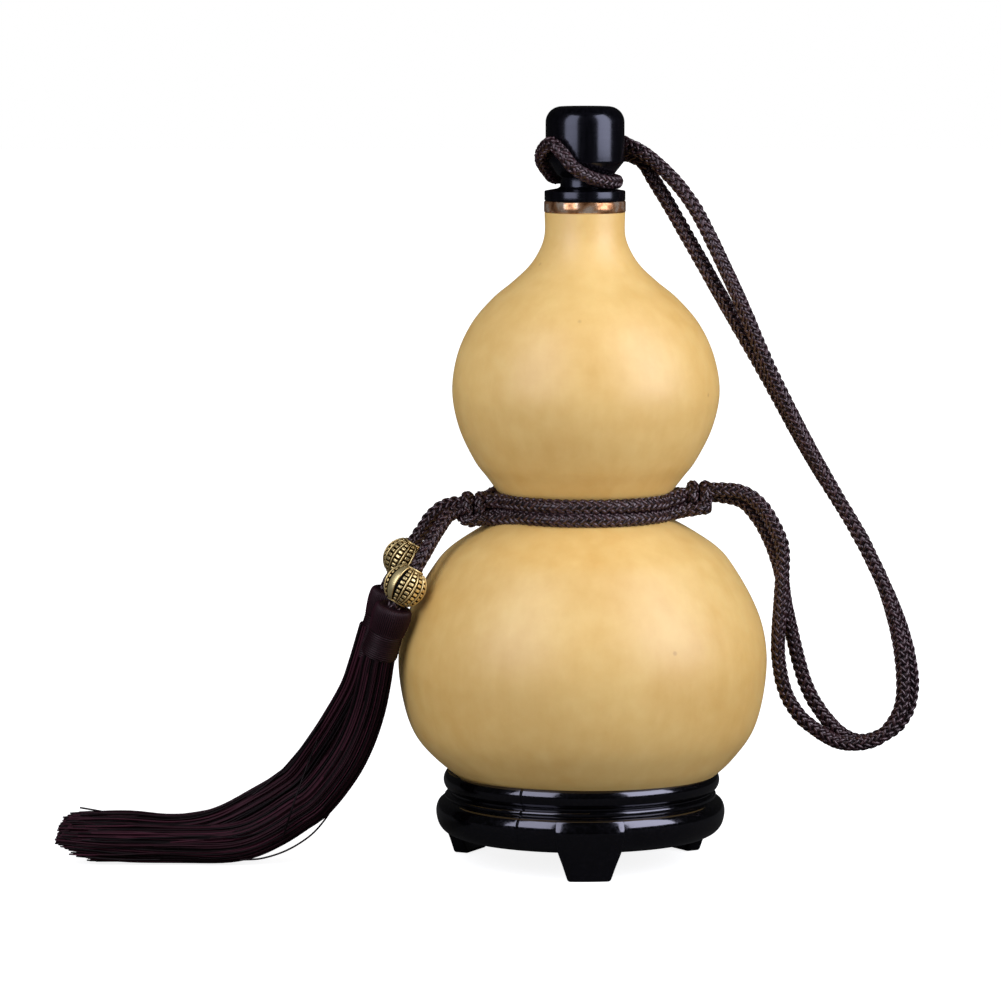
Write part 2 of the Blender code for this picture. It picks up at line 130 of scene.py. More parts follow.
table_mesh = bpy.data.meshes.new("table")
half_span = TABLE_SPAN / 2
table_corners = [(-half_span, -half_span, 0), (half_span, -half_span, 0), (half_span, half_span, 0)]
table_mesh.from_pydata([*table_corners, (-half_span, half_span, 0)], [], [(0, 1, 2, 3)])
table = bpy.data.objects.new("table", table_mesh)
bpy.context.scene.collection.objects.link(table)
table_paint = bpy.data.materials.new("table_white")
table_paint.use_nodes = True
table_mesh.materials.append(table_paint)
paint = table_paint.node_tree
paint.nodes.clear()
spot = add(paint, "ShaderNodeTexCoord").outputs["Object"]
away = vectors(paint, "LENGTH", spot)
# Painted shade round the object: to the camera the table glows a little less near it, so its cast
# shadow shows, and full white further off.
glow = fitted(paint, away, TABLE_NEAR_GLOW, 1.0, TABLE_NEAR, TABLE_FAR)
glow.interpolation_type = "SMOOTHSTEP"
white = add(paint, "ShaderNodeEmission", {"Strength": glow})
matt = add(paint, "ShaderNodeBsdfDiffuse", {"Color": tint(*TABLE_PAINT)})
lit = add(paint, "ShaderNodeAddShader", {0: white, 1: matt})
shown = add(paint, "ShaderNodeLightPath")
# Painted bounce light: to diffuse rays the table glows faintly and lights things from below.
bounce = fitted(paint, shown.outputs["Is Diffuse Ray"], 0.0, TABLE_BOUNCE)
grey = add(paint, "ShaderNodeBsdfDiffuse", {"Color": tint(*TABLE_SEEN_BY_LIGHT)})
faint = add(paint, "ShaderNodeEmission", {"Strength": bounce})
dim = add(paint, "ShaderNodeAddShader", {0: faint, 1: grey})
chosen = add(paint, "ShaderNodeMixShader", {0: shown.outputs["Is Camera Ray"], 1: dim, 2: lit})
add(paint, "ShaderNodeOutputMaterial", {"Surface": chosen})

# The cord is one tight round braid of dark brown silk, just under 3 mm thick,
# doubled. Both strands leave the stopper at the right, hang in a long loop and
# come back up to the knot at the waist. The braid is woven grain by grain.
CORD_WIDTH = 2.9 * MM
BRAID_PITCH = 0.52
BRAID_COLUMNS = 8
BRAID_SLANT = math.radians(38.0)
BRAID_TWIST = math.radians(2.0)
GRAIN_REACH = 0.36
GRAIN_LENGTH = 1.12
GRAIN_WIDTH = 0.80
GRAIN_UNEVEN = (0.92, 1.06)
GRAIN_TONES = (0.45, 1.0)
GRAIN_TONE_SEED = 7
CORE_SHARE = 0.35
SILK_SHEEN = (1.0, 0.82, 0.86, 1.0)
STRAND_A_LENGTH = 0.204
STRAND_B_LENGTH = 0.197
STRAND_A_ROUTE = [
    (8.8, 7.3, 138.1), (10.8, 6.1, 137.2), (13.8, 5.8, 135.0), (17.2, 4.4, 131.7), (19.8, 3.2, 128.5),
    (22.3, 2.0, 124.5), (26.2, 0.1, 116.5), (30.5, -1.2, 107.2), (35.6, -1.5, 95.5), (43.5, -1.5, 80.0),
    (52.4, -1.5, 64.5), (55.5, -1.5, 58.7), (58.1, -1.5, 52.9), (59.9, -1.5, 47.0), (61.1, -1.5, 41.2),
    (61.7, -1.5, 35.4), (61.5, -1.5, 31.1), (60.3, -1.5, 27.7), (57.7, -1.5, 24.5), (53.8, -1.5, 23.0),
    (49.2, -1.5, 23.3), (45.0, -1.5, 25.6), (41.6, -1.5, 28.5), (38.9, -1.5, 33.0), (37.6, -1.5, 38.9),
    (37.5, -1.5, 44.7), (38.3, -1.5, 58.7), (37.5, -1.5, 63.3), (35.1, -1.5, 67.9), (32.6, -1.5, 70.6),
    (29.5, -1.5, 72.1), (25.0, -1.5, 72.35), (23.4, -1.3, 71.8),
]
STRAND_B_ROUTE = [
    (8.9, 10.2, 136.2), (11.3, 9.1, 135.0), (13.8, 7.5, 131.0), (16.3, 6.0, 127.0), (21.6, 3.6, 117.7),
    (27.7, 2.0, 107.0), (34.5, 1.5, 95.2), (43.1, 1.5, 79.7), (52.7, 1.5, 64.2), (55.7, 1.5, 58.4),
    (58.5, 1.5, 52.5), (60.9, 1.5, 46.7), (62.7, 1.5, 40.8), (63.6, 1.5, 34.9), (63.1, 1.5, 30.1),
    (61.1, 1.5, 26.4), (57.9, 1.5, 24.1), (54.0, 1.5, 23.0), (50.5, 1.5, 24.1), (47.2, 1.5, 27.2),
    (44.0, 1.5, 32.0), (41.8, 1.5, 37.9), (39.0, 1.5, 49.8), (38.2, 1.5, 55.3), (37.0, 1.5, 59.5),
    (34.9, 1.5, 64.4), (32.2, 1.5, 68.3), (29.7, 1.45, 70.2), (25.2, 1.3, 71.0), (23.6, 0.9, 70.8),
]


def smooth(points, steps):
    """Points on a smooth curve through these ones, with this many steps from each to the next."""
    at = [Vector(p) for p in points]
    ends = [2 * at[0] - at[1], *at, 2 * at[-1] - at[-2]]
    curve = []
    for before, start, stop, after in zip(ends, ends[1:], ends[2:], ends[3:]):
        for step in range(steps):
            t = step / steps
            bend = (2 * before - 5 * start + 4 * stop - after) * t**2
            turn = (3 * start - before - 3 * stop + after) * t**3
            curve.append(0.5 * (2 * start + (stop - before) * t + bend + turn))
    return [*curve, at[-1]]


def route_path(route, steps=6):
    """A smooth path in metres along a route given in millimetres."""
    return smooth([Vector(p) * MM for p in route], steps)


def line_mesh(name, paths, closed=False):
    """A mesh of bare edges along one or more paths."""
    points = []
    edges = []
    for path in paths:
        first = len(points)
        points += [tuple(p) for p in path]
        edges += [(i, i + 1) for i in range(first, len(points) - 1)]
        if closed:
            edges.append((len(points) - 1, first))
    mesh = bpy.data.meshes.new(name)
    mesh.from_pydata(points, edges, [])
    return mesh


def node_tree_with(name, inputs):
    """An empty Geometry Nodes tree with named inputs, and its group input's outlets."""
    tree = bpy.data.node_groups.new(name, "GeometryNodeTree")
    tree.interface.new_socket("Geometry", in_out="INPUT", socket_type="NodeSocketGeometry")
    for label, kind in inputs:
        tree.interface.new_socket(label, in_out="INPUT", socket_type="NodeSocket" + kind)
    tree.interface.new_socket("Geometry", in_out="OUTPUT", socket_type="NodeSocketGeometry")
    return tree, tree.nodes.new("NodeGroupInput").outputs


def grown(name, mesh, tree, values):
    """Runs a node tree on a mesh and keeps what it makes as a plain mesh object of this name."""
    made = bpy.data.objects.new(name, mesh)
    bpy.context.scene.collection.objects.link(made)
    modifier = made.modifiers.new(tree.name, "NODES")
    modifier.node_group = tree
    for item in tree.interface.items_tree:
        if item.in_out == "INPUT" and item.name in values:
            modifier[item.identifier] = values[item.name]
    shape = bpy.data.meshes.new_from_object(made.evaluated_get(bpy.context.evaluated_depsgraph_get()))
    made.modifiers.remove(modifier)
    made.data = shape
    shape.name = name
    return made


def sums(tree, operation, *values):
    """A Math node on these values."""
    return add(tree, "ShaderNodeMath", enumerate(values), operation=operation)


def times(tree, first, second):
    """One value times another."""
    return sums(tree, "MULTIPLY", first, second)


def plus(tree, first, second):
    """One value and another."""
    return sums(tree, "ADD", first, second)


def less(tree, first, second):
    """One value less another."""
    return sums(tree, "SUBTRACT", first, second)


def scaled(tree, vector, amount):
    """A vector times a number."""
    return add(tree, "ShaderNodeVectorMath", {"Vector": vector, "Scale": amount}, operation="SCALE")


def point_of(tree, x, y, z=0.0):
    """A vector of these three."""
    return add(tree, "ShaderNodeCombineXYZ", {0: x, 1: y, 2: z})


def chance(tree, low, high, seed, index=None):
    """A random number for each element, or for each index."""
    inlets = {2: low, 3: high, 8: seed}
    if index:
        inlets[7] = index
    return add(tree, "FunctionNodeRandomValue", inlets, data_type="FLOAT")


def stored(tree, geometry, name, value, domain, kind="FLOAT"):
    """The same geometry with a value kept on it under a name."""
    inlets = {"Geometry": geometry, "Name": name, "Value": value}
    return add(tree, "GeometryNodeStoreNamedAttribute", inlets, data_type=kind, domain=domain)


def tube(tree, line, sides, radius):
    """A closed tube along a line."""
    rim = add(tree, "GeometryNodeCurvePrimitiveCircle", {"Resolution": sides, "Radius": radius})
    inlets = {"Curve": line, "Profile Curve": rim, "Fill Caps": True}
    return add(tree, "GeometryNodeCurveToMesh", inlets)


def ended(tree, geometry, material):
    """Ends a tree: makes its copies real and smooth and gives them their material."""
    solid = add(tree, "GeometryNodeRealizeInstances", {0: geometry})
    soft = add(tree, "GeometryNodeSetShadeSmooth", {"Geometry": solid})
    finished = add(tree, "GeometryNodeSetMaterial", {"Geometry": soft, "Material": material})
    add(tree, "NodeGroupOutput", {0: finished})
    return tree


def braid_tree():
    """Lays silk grains on a core along a line, in columns that slant left and right by turns."""
    inputs = [("Width", "Float"), ("Flatness", "Float"), ("Columns", "Int"), ("Seed", "Int")]
    tree, given = node_tree_with("round_braid", [*inputs, ("Silk", "Material")])
    width = given["Width"]
    columns = given["Columns"]
    pitch = times(tree, width, BRAID_PITCH)
    line = add(tree, "GeometryNodeMeshToCurve", {0: given["Geometry"]})
    steps = add(tree, "GeometryNodeCurveToPoints", {"Curve": line, "Length": pitch}, mode="LENGTH")
    copies = {"Geometry": steps, "Amount": columns}
    laid = add(tree, "GeometryNodeDuplicateElements", copies, domain="POINT")
    column = laid.outputs["Duplicate Index"]
    place = add(tree, "GeometryNodeInputIndex")
    row = sums(tree, "FLOOR", sums(tree, "DIVIDE", place, columns))
    step_angle = sums(tree, "DIVIDE", math.tau, columns)
    angle = plus(tree, times(tree, column, step_angle), times(tree, row, BRAID_TWIST))
    tangent = steps.outputs["Tangent"]
    normal = steps.outputs["Normal"]
    side = vectors(tree, "CROSS_PRODUCT", tangent, normal)
    upward = scaled(tree, normal, sums(tree, "COSINE", angle))
    sideward = scaled(tree, side, sums(tree, "SINE", angle))
    outward = vectors(tree, "ADD", upward, sideward)
    around = vectors(tree, "CROSS_PRODUCT", tangent, outward)
    parity = sums(tree, "MODULO", column, 2.0)
    lean = less(tree, times(tree, parity, 2.0), 1.0)
    slanted = scaled(tree, around, times(tree, lean, math.sin(BRAID_SLANT)))
    along = vectors(tree, "ADD", scaled(tree, tangent, math.cos(BRAID_SLANT)), slanted)
    level = vectors(tree, "MULTIPLY", add(tree, "GeometryNodeInputPosition"), (1.0, 1.0, 0.0))
    radial = vectors(tree, "NORMALIZE", level)
    reach = scaled(tree, outward, times(tree, width, GRAIN_REACH))
    outermost = vectors(tree, "DOT_PRODUCT", reach, radial)
    squeeze = times(tree, outermost, less(tree, given["Flatness"], 1.0))
    stagger = times(tree, less(tree, parity, 0.5), times(tree, pitch, 0.5))
    pressed = vectors(tree, "ADD", reach, scaled(tree, radial, squeeze))
    move = vectors(tree, "ADD", pressed, scaled(tree, tangent, stagger))
    moved = add(tree, "GeometryNodeSetPosition", {"Geometry": laid, "Offset": move})
    grain = add(tree, "GeometryNodeMeshUVSphere", {"Segments": 8, "Rings": 6, "Radius": 1.0})
    grain_place = add(tree, "GeometryNodeInputPosition")
    marked = stored(tree, grain, "fibre", grain_place, "POINT", "FLOAT_VECTOR")
    column_width = sums(tree, "DIVIDE", times(tree, width, math.pi), columns)
    grain_size = point_of(
        tree,
        times(tree, column_width, GRAIN_LENGTH / math.sin(BRAID_SLANT) / 2),
        times(tree, pitch, GRAIN_WIDTH * math.sin(BRAID_SLANT) / 2),
        times(tree, width, 0.5 - GRAIN_REACH),
    )
    sized = add(tree, "GeometryNodeTransform", {"Geometry": marked, "Scale": grain_size})
    axes = {"Primary Axis": outward, "Secondary Axis": along}
    facing = add(tree, "FunctionNodeAxesToRotation", axes, primary_axis="Z", secondary_axis="X")
    uneven = chance(tree, *GRAIN_UNEVEN, given["Seed"])
    grains = {"Points": moved, "Instance": sized, "Rotation": facing, "Scale": uneven}
    woven = add(tree, "GeometryNodeInstanceOnPoints", grains)
    shade = chance(tree, *GRAIN_TONES, GRAIN_TONE_SEED)
    toned = stored(tree, woven, "tone_and_shade", shade, "INSTANCE")
    # The core carries none of the grains' stored values, so the silk finish gives it its darkest
    # colour: painted shade in the gaps between the grains.
    core = tube(tree, line, 8, times(tree, width, CORE_SHARE))
    both = add(tree, "GeometryNodeJoinGeometry")
    tree.links.new(core.outputs[0], both.inputs[0])
    tree.links.new(toned.outputs[0], both.inputs[0])
    return ended(tree, both, given["Silk"])


def shades(tree, amount, *stops):
    """A colour that runs through these stops, each a place from 0 to 1 and a colour."""
    ramp = add(tree, "ShaderNodeValToRGB", {0: amount})
    bar = ramp.color_ramp.elements
    while len(bar) < len(stops):
        bar.new(0.5)
    for element, (place, colour) in zip(bar, stops):
        element.position = place
        element.color = colour
    return ramp


def finish_of(name, **settings):
    """A new material with the values that are the same all over it, its tree and its shader."""
    material = bpy.data.materials.new(name)
    material.use_nodes = True
    tree = material.node_tree
    shader = tree.nodes["Principled BSDF"]
    for label, value in settings.items():
        shader.inputs[label.replace("_", " ")].default_value = value
    return material, tree, shader


def wire(tree, shader, **links):
    """Leads nodes to a shader's inputs."""
    for label, value in links.items():
        outlet = next(outlet for outlet in value.outputs if outlet.enabled)
        tree.links.new(outlet, shader.inputs[label.replace("_", " ")])


def own_place(tree):
    """Where a point is on its own object."""
    return add(tree, "ShaderNodeTexCoord").outputs["Object"]


def mottled(tree, place, scale, detail, **more):
    """A Noise Texture read at a place."""
    return add(tree, "ShaderNodeTexNoise", {"Vector": place, "Scale": scale, "Detail": detail, **more})


def raised(tree, strength, distance, height):
    """A bump from a height."""
    return add(tree, "ShaderNodeBump", {"Strength": strength, "Distance": distance, "Height": height})


def silk_finish(name, dark, deep, bright, gloss, rough_from, rough_to):
    """Fine glossy filaments along each grain or thread, and hardly any light between them: the darkest
    colour is painted shade, on the bare core and in fold hollows.
    """
    material, tree, shader = finish_of(name, Specular_IOR_Level=gloss, Specular_Tint=SILK_SHEEN)
    fibre = add(tree, "ShaderNodeAttribute", attribute_name="fibre")
    tone_and_shade = add(tree, "ShaderNodeAttribute", attribute_name="tone_and_shade").outputs["Fac"]
    drawn = vectors(tree, "MULTIPLY", fibre.outputs["Vector"], (0.8, 5.0, 5.0))
    apart = vectors(tree, "ADD", drawn, scaled(tree, (3.0, 3.0, 3.0), tone_and_shade))
    strands = mottled(tree, apart, 2.2, 2.0)
    mixed = plus(tree, times(tree, strands, 0.45), times(tree, tone_and_shade, 0.55))
    # The darkest colour is painted shade, taken by the bare core and by the hollows of folds and wraps.
    colour = shades(tree, mixed, (0.24, dark), (0.45, deep), (0.85, bright))
    rough = fitted(tree, strands, rough_from, rough_to)
    bump = raised(tree, 0.5, 0.04 * MM, strands)
    wire(tree, shader, Base_Color=colour, Roughness=rough, Normal=bump)
    return material


brown_tones = (tint(6, 3, 4), tint(26, 14, 17), tint(56, 34, 38))
brown_looks = {"gloss": 1.0, "rough_from": 0.44, "rough_to": 0.26}
brown_silk = silk_finish("brown_silk_braid", *brown_tones, **brown_looks)
round_braid = braid_tree()


def braided(name, paths, width, flatness=1.0, closed=False, seed=1):
    """A piece of braided cord along one or more paths."""
    sizes = {"Width": width, "Flatness": flatness, "Columns": BRAID_COLUMNS}
    values = {**sizes, "Seed": seed, "Silk": brown_silk}
    return grown(name, line_mesh(name, paths, closed), round_braid, values)


def length_of(path):
    """How long a path is."""
    return sum((b - a).length for a, b in zip(path, path[1:]))


def dress(piece, slot, *nodes):
    """Has a finished piece ride with the object and stand for CAD nodes. The slot is not used."""
    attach(piece, "root")
    if nodes:
        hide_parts(*nodes)
    return piece


for strand_name, strand_route, strand_length, strand_node in (
    ("loop_strand_a", STRAND_A_ROUTE, STRAND_A_LENGTH, "cord_strand_a"),
    ("loop_strand_b", STRAND_B_ROUTE, STRAND_B_LENGTH, "cord_strand_b"),
):
    strand_path = route_path(strand_route)
    print(strand_name, "is", round(length_of(strand_path), 4), "m long")
    strand = braided(strand_name, [strand_path], CORD_WIDTH)
    dress(strand, "brown_cord", strand_node)

# The hitch is the same cord pulled tight round the stopper's neck, where it is
# squeezed flat against the knob. It rises at the left, folds over at the front
# and runs down to the right, then goes round behind.
TIGHT_WIDTH = 2.75 * MM
HITCH_FLATNESS = 0.88
HITCH_ROUTE = [
    (8.9, 10.2, 136.2), (5.4, 11.0, 136.5), (1.6, 10.2, 135.2), (-2.2, 8.6, 133.8), (-4.9, 6.0, 132.3),
    (-6.2, 3.4, 132.5), (-7.4, 1.2, 133.9), (-8.45, -0.9, 135.8), (-8.2, -3.1, 137.6),
    (-6.5, -6.1, 139.1), (-4.5, -8.0, 137.3), (-2.5, -8.5, 134.8), (0.4, -7.5, 132.9),
    (3.4, -5.7, 131.9), (5.5, -2.7, 131.6), (6.1, 1.0, 131.6), (4.4, 4.6, 131.9), (1.6, 6.4, 131.6),
    (-0.6, 8.9, 131.3), (-0.8, 12.2, 132.6), (0.8, 13.5, 135.2), (3.4, 12.9, 138.3), (6.2, 10.2, 139.3),
    (8.8, 7.3, 138.1),
]
hitch = braided("stopper_hitch", [route_path(HITCH_ROUTE)], TIGHT_WIDTH, HITCH_FLATNESS, seed=2)
dress(hitch, "brown_cord", "cord_hitch")

# Two turns of the cord lie in the gourd's waist, pressed a little flat, and
# short ends lead from them into the knots at both sides.
WAIST_WIDTH = 3.05 * MM
WAIST_FLATNESS = 0.80
WAIST_RADIUS = 16.4 * MM
WAIST_STEPS = 90
for waist_name, waist_height, waist_node, waist_leads in (
    (
        "waist_turn_upper",
        70.5 * MM,
        "waist_cord_upper",
        [
            [(14.9, -6.4, 70.6), (17.2, -4.0, 71.0), (19.1, -1.9, 71.3), (21.0, -0.6, 71.2)],
            [(15.2, 5.9, 70.6), (17.5, 3.9, 70.9), (19.4, 2.0, 70.9), (21.0, 0.8, 70.8)],
            [
                (-20.4, -2.7, 69.6), (-18.7, -0.9, 70.8), (-17.2, 1.4, 71.4), (-15.7, 4.6, 71.2),
                (-13.4, 9.2, 70.7),
            ],
            [(-20.4, -3.4, 69.8), (-18.6, -4.2, 70.3), (-16.4, -5.4, 70.5), (-14.2, -8.0, 70.6)],
        ],
    ),
    (
        "waist_turn_lower",
        68.0 * MM,
        "waist_cord_lower",
        [
            [(15.5, -4.9, 68.0), (17.8, -3.5, 68.3), (19.9, -2.6, 68.7), (21.9, -1.8, 68.9)],
            [(15.6, -3.2, 69.2), (18.0, -1.7, 69.6), (20.9, -0.6, 69.8)],
            [(-20.6, -3.2, 67.6), (-18.6, -3.9, 67.7), (-16.4, -5.3, 67.8), (-14.2, -8.0, 68.0)],
            [(-20.4, -4.4, 67.3), (-18.2, -5.0, 67.1), (-15.8, -6.6, 67.3), (-13.6, -9.2, 67.7)],
        ],
    ),
):
    waist_turn = []
    for step in range(WAIST_STEPS):
        turn = math.tau * step / WAIST_STEPS
        sideways = WAIST_RADIUS * math.cos(turn)
        inwards = WAIST_RADIUS * math.sin(turn)
        waist_turn.append(Vector((sideways, inwards, waist_height)))
    waist_turn.append(waist_turn[0])
    lead_paths = [route_path(lead) for lead in waist_leads]
    waist = braided(waist_name, [waist_turn, *lead_paths], WAIST_WIDTH, WAIST_FLATNESS, seed=3)
    dress(waist, "brown_cord", waist_node)

# At each side of the waist the cord is tied in a small tight knot: two turns
# round the strands that go through it, and an end that crosses below.
KNOT_WIDTH = 2.5 * MM
KNOT_TURNS = 2
KNOT_STEPS = 18
KNOT_HALF = 1.25
KNOT_RADIUS = 2.15


def rise(value, edge, softness):
    """0 below an edge and 1 above it, with a soft slope between."""
    share = min(max((value - edge) / softness + 0.5, 0.0), 1.0)
    return share * share * (3 - 2 * share)


for knot_name, knot_node, knot_middle, knot_side, knot_end in (
    (
        "right_knot",
        "knot_right",
        Vector((22.1, -0.2, 70.7)),
        1.0,
        [
            (17.6, -2.6, 68.5), (19.6, -3.2, 68.4), (21.4, -3.4, 68.7), (22.8, -3.0, 69.2),
            (23.4, -1.6, 69.9),
        ],
    ),
    (
        "left_knot",
        "knot_left",
        Vector((-21.3, -3.0, 68.9)),
        -1.0,
        [
            (-19.0, -5.0, 67.6), (-20.8, -5.8, 66.8), (-22.6, -5.4, 66.8), (-23.7, -3.8, 67.6),
            (-23.6, -1.8, 68.6),
        ],
    ),
):
    knot_turns = []
    for step in range(KNOT_TURNS * KNOT_STEPS + 1):
        part = step / KNOT_STEPS
        turn = math.tau * part
        along = knot_side * KNOT_HALF * (2 * rise(part, 1.0, 0.5) - 1)
        across = Vector((along, KNOT_RADIUS * math.cos(turn), KNOT_RADIUS * math.sin(turn)))
        knot_turns.append((knot_middle + across) * MM)
    knot = braided(knot_name, [knot_turns, route_path(knot_end)], KNOT_WIDTH, seed=4)
    dress(knot, "brown_cord", knot_node)

# Two antique brass beads, cast with a bore, thin ribs from hole to hole, rows of
# raised blocks between them and one plain polished band. The ground is dark with
# age and what stands proud is rubbed bright. Each is threaded on its drop.
BEAD_RADIUS = 4.15 * MM
BEAD_BORE = 1.75 * MM
BEAD_RELIEF = 0.34 * MM
BEAD_SECTORS = 14
BEAD_BAND_DEGREES = 11.8
BEAD_BLOCK_DEGREES = 13.5
BEAD_BLOCK_GAP = 2.3
BEAD_BLOCK_EDGE = 6.0
BEAD_BLOCK_HEIGHT = 0.9
BEAD_RIB_DEGREES = 2.7
BEAD_COLLAR_DEGREES = 61.0
BEAD_COLLAR_GROOVE = 4.0
BEAD_LONG_STEPS = 294
BEAD_ROUND_STEPS = 96


def bead_relief(longitude, latitude):
    """How proud the bead's face is, from 0 on its ground to 1, by angles in degrees."""
    sector_span = 360.0 / BEAD_SECTORS
    sector = int(longitude // sector_span)
    inside = longitude % sector_span
    from_rib = min(inside, sector_span - inside)
    from_band = (longitude - sector_span / 2 + 180.0) % 360.0 - 180.0
    collar = rise(abs(latitude), BEAD_COLLAR_DEGREES, 2.5)
    groove = 1 - rise(abs(latitude), BEAD_COLLAR_DEGREES - BEAD_COLLAR_GROOVE, 2.0)
    if abs(from_band) < sector_span * 0.8:
        rib = 0.0
        field = 1 - rise(abs(from_band), BEAD_BAND_DEGREES, 1.8)
    else:
        rib = 1 - rise(from_rib, BEAD_RIB_DEGREES, 1.8)
        shift = BEAD_BLOCK_DEGREES / 2 * (sector % 2)
        in_block = (latitude + 90.0 + shift) % BEAD_BLOCK_DEGREES
        from_gap = min(in_block, BEAD_BLOCK_DEGREES - in_block)
        block = rise(from_gap, BEAD_BLOCK_GAP, 2.0) * rise(from_rib, BEAD_BLOCK_EDGE, 2.0)
        field = BEAD_BLOCK_HEIGHT * block
    return max(collar, min(groove, max(rib, field)))


def kept(mesh, name, values, kind="FLOAT"):
    """Keeps values for the points of a mesh under a name."""
    part = "value" if kind == "FLOAT" else "vector"
    mesh.attributes.new(name, kind, "POINT").data.foreach_set(part, values)


def brass_finish():
    """Old cast brass: nearly black in its hollows, golden where hands have rubbed it."""
    material, tree, shader = finish_of("antique_brass", Metallic=0.85)
    proud = add(tree, "ShaderNodeAttribute", attribute_name="proud").outputs["Fac"]
    spot = own_place(tree)
    stain = mottled(tree, spot, 700.0, 4.0)
    worn = plus(tree, proud, times(tree, less(tree, stain, 0.5), 0.7))
    golden = (0.60, tint(180, 144, 82))
    colour = shades(tree, worn, (0.25, tint(16, 12, 7)), golden, (0.90, tint(255, 232, 168)))
    rough = fitted(tree, worn, 0.60, 0.34)
    bump = raised(tree, 0.25, 0.05 * MM, stain)
    wire(tree, shader, Base_Color=colour, Roughness=rough, Normal=bump)
    return material


brass = brass_finish()


def bead_mesh(name, middle, direction, band_degrees):
    """A bead at a place, with its bore along a direction and its plain band turned from the camera."""
    down = direction.normalized()
    front = Vector((0.0, -1.0, 0.0))
    front = (front - front.dot(down) * down).normalized()
    side = down.cross(front)
    mouth = math.degrees(math.asin(BEAD_BORE / BEAD_RADIUS))
    points = []
    proud = []
    for row in range(BEAD_ROUND_STEPS + 1):
        latitude = (90.0 - mouth) * (1 - 2 * row / BEAD_ROUND_STEPS)
        for column in range(BEAD_LONG_STEPS):
            longitude = 360.0 * column / BEAD_LONG_STEPS
            height = bead_relief(longitude, latitude)
            radius = BEAD_RADIUS - BEAD_RELIEF * (1 - height)
            turn = math.radians(longitude - 180.0 / BEAD_SECTORS + band_degrees)
            spread = radius * math.cos(math.radians(latitude))
            lift = radius * math.sin(math.radians(latitude))
            reach = front * math.cos(turn) + side * math.sin(turn)
            points.append(middle + reach * spread - down * lift)
            proud.append(height)
    faces = []
    rows = BEAD_ROUND_STEPS + 1
    for row in range(rows):
        below = (row + 1) % rows
        for column in range(BEAD_LONG_STEPS):
            after = (column + 1) % BEAD_LONG_STEPS
            first = row * BEAD_LONG_STEPS
            second = below * BEAD_LONG_STEPS
            faces.append((first + column, first + after, second + after, second + column))
    mesh = bpy.data.meshes.new(name)
    mesh.from_pydata(points, [], faces)
    kept(mesh, "proud", proud)
    mesh.materials.append(brass)
    mesh.shade_smooth()
    return mesh


def add_piece(name, mesh, slot, *nodes):
    """Puts a finished mesh in the scene as a piece that stands for CAD nodes."""
    made = bpy.data.objects.new(name, mesh)
    bpy.context.scene.collection.objects.link(made)
    return dress(made, slot, *nodes)


for bead_side, bead_place, bead_direction, bead_turn in (
    ("front", (-34.4, -12.4, 55.0), (-0.49, -0.10, -0.866), 40.0),
    ("back", (-34.7, -4.0, 59.2), (-0.517, 0.036, -0.855), 150.0),
):
    bead_name = "brass_bead_" + bead_side
    bead_data = bead_mesh(bead_name, Vector(bead_place) * MM, Vector(bead_direction), bead_turn)
    add_piece(bead_name, bead_data, "old_brass", "bead_" + bead_side)

# Each tassel hangs from a head: a domed cap where the threads are folded over
# the cord's end, and under it a neck bound round with the same thread.
HEAD_OUTLINE = [
    (0.0, 1.6), (-0.1, 2.6), (0.0, 3.2), (0.5, 3.6), (1.5, 3.74), (2.8, 3.72), (4.0, 3.6), (5.2, 3.45),
]
NECK_OUTLINE = [(5.3, 3.40), (6.0, 3.38), (8.0, 3.48), (9.6, 3.55), (10.3, 3.35)]
HEAD_THREADS = 56
HEAD_SIDES = HEAD_THREADS * 4
HEAD_FOLD = 0.16
HEAD_TONE = 0.85
HEAD_FOLD_SHADE = 0.6
NECK_WRAP = 0.42
NECK_PROUD = 0.13
burgundy_tones = (tint(8, 3, 5), tint(22, 9, 13), tint(66, 28, 42))
burgundy_looks = {"gloss": 0.35, "rough_from": 0.60, "rough_to": 0.40}
burgundy_silk = silk_finish("burgundy_silk_thread", *burgundy_tones, **burgundy_looks)


def rounded(corners, steps):
    """A smooth outline through corners of two numbers each."""
    return [(p.x, p.y) for p in smooth([(a, b, 0.0) for a, b in corners], steps)]


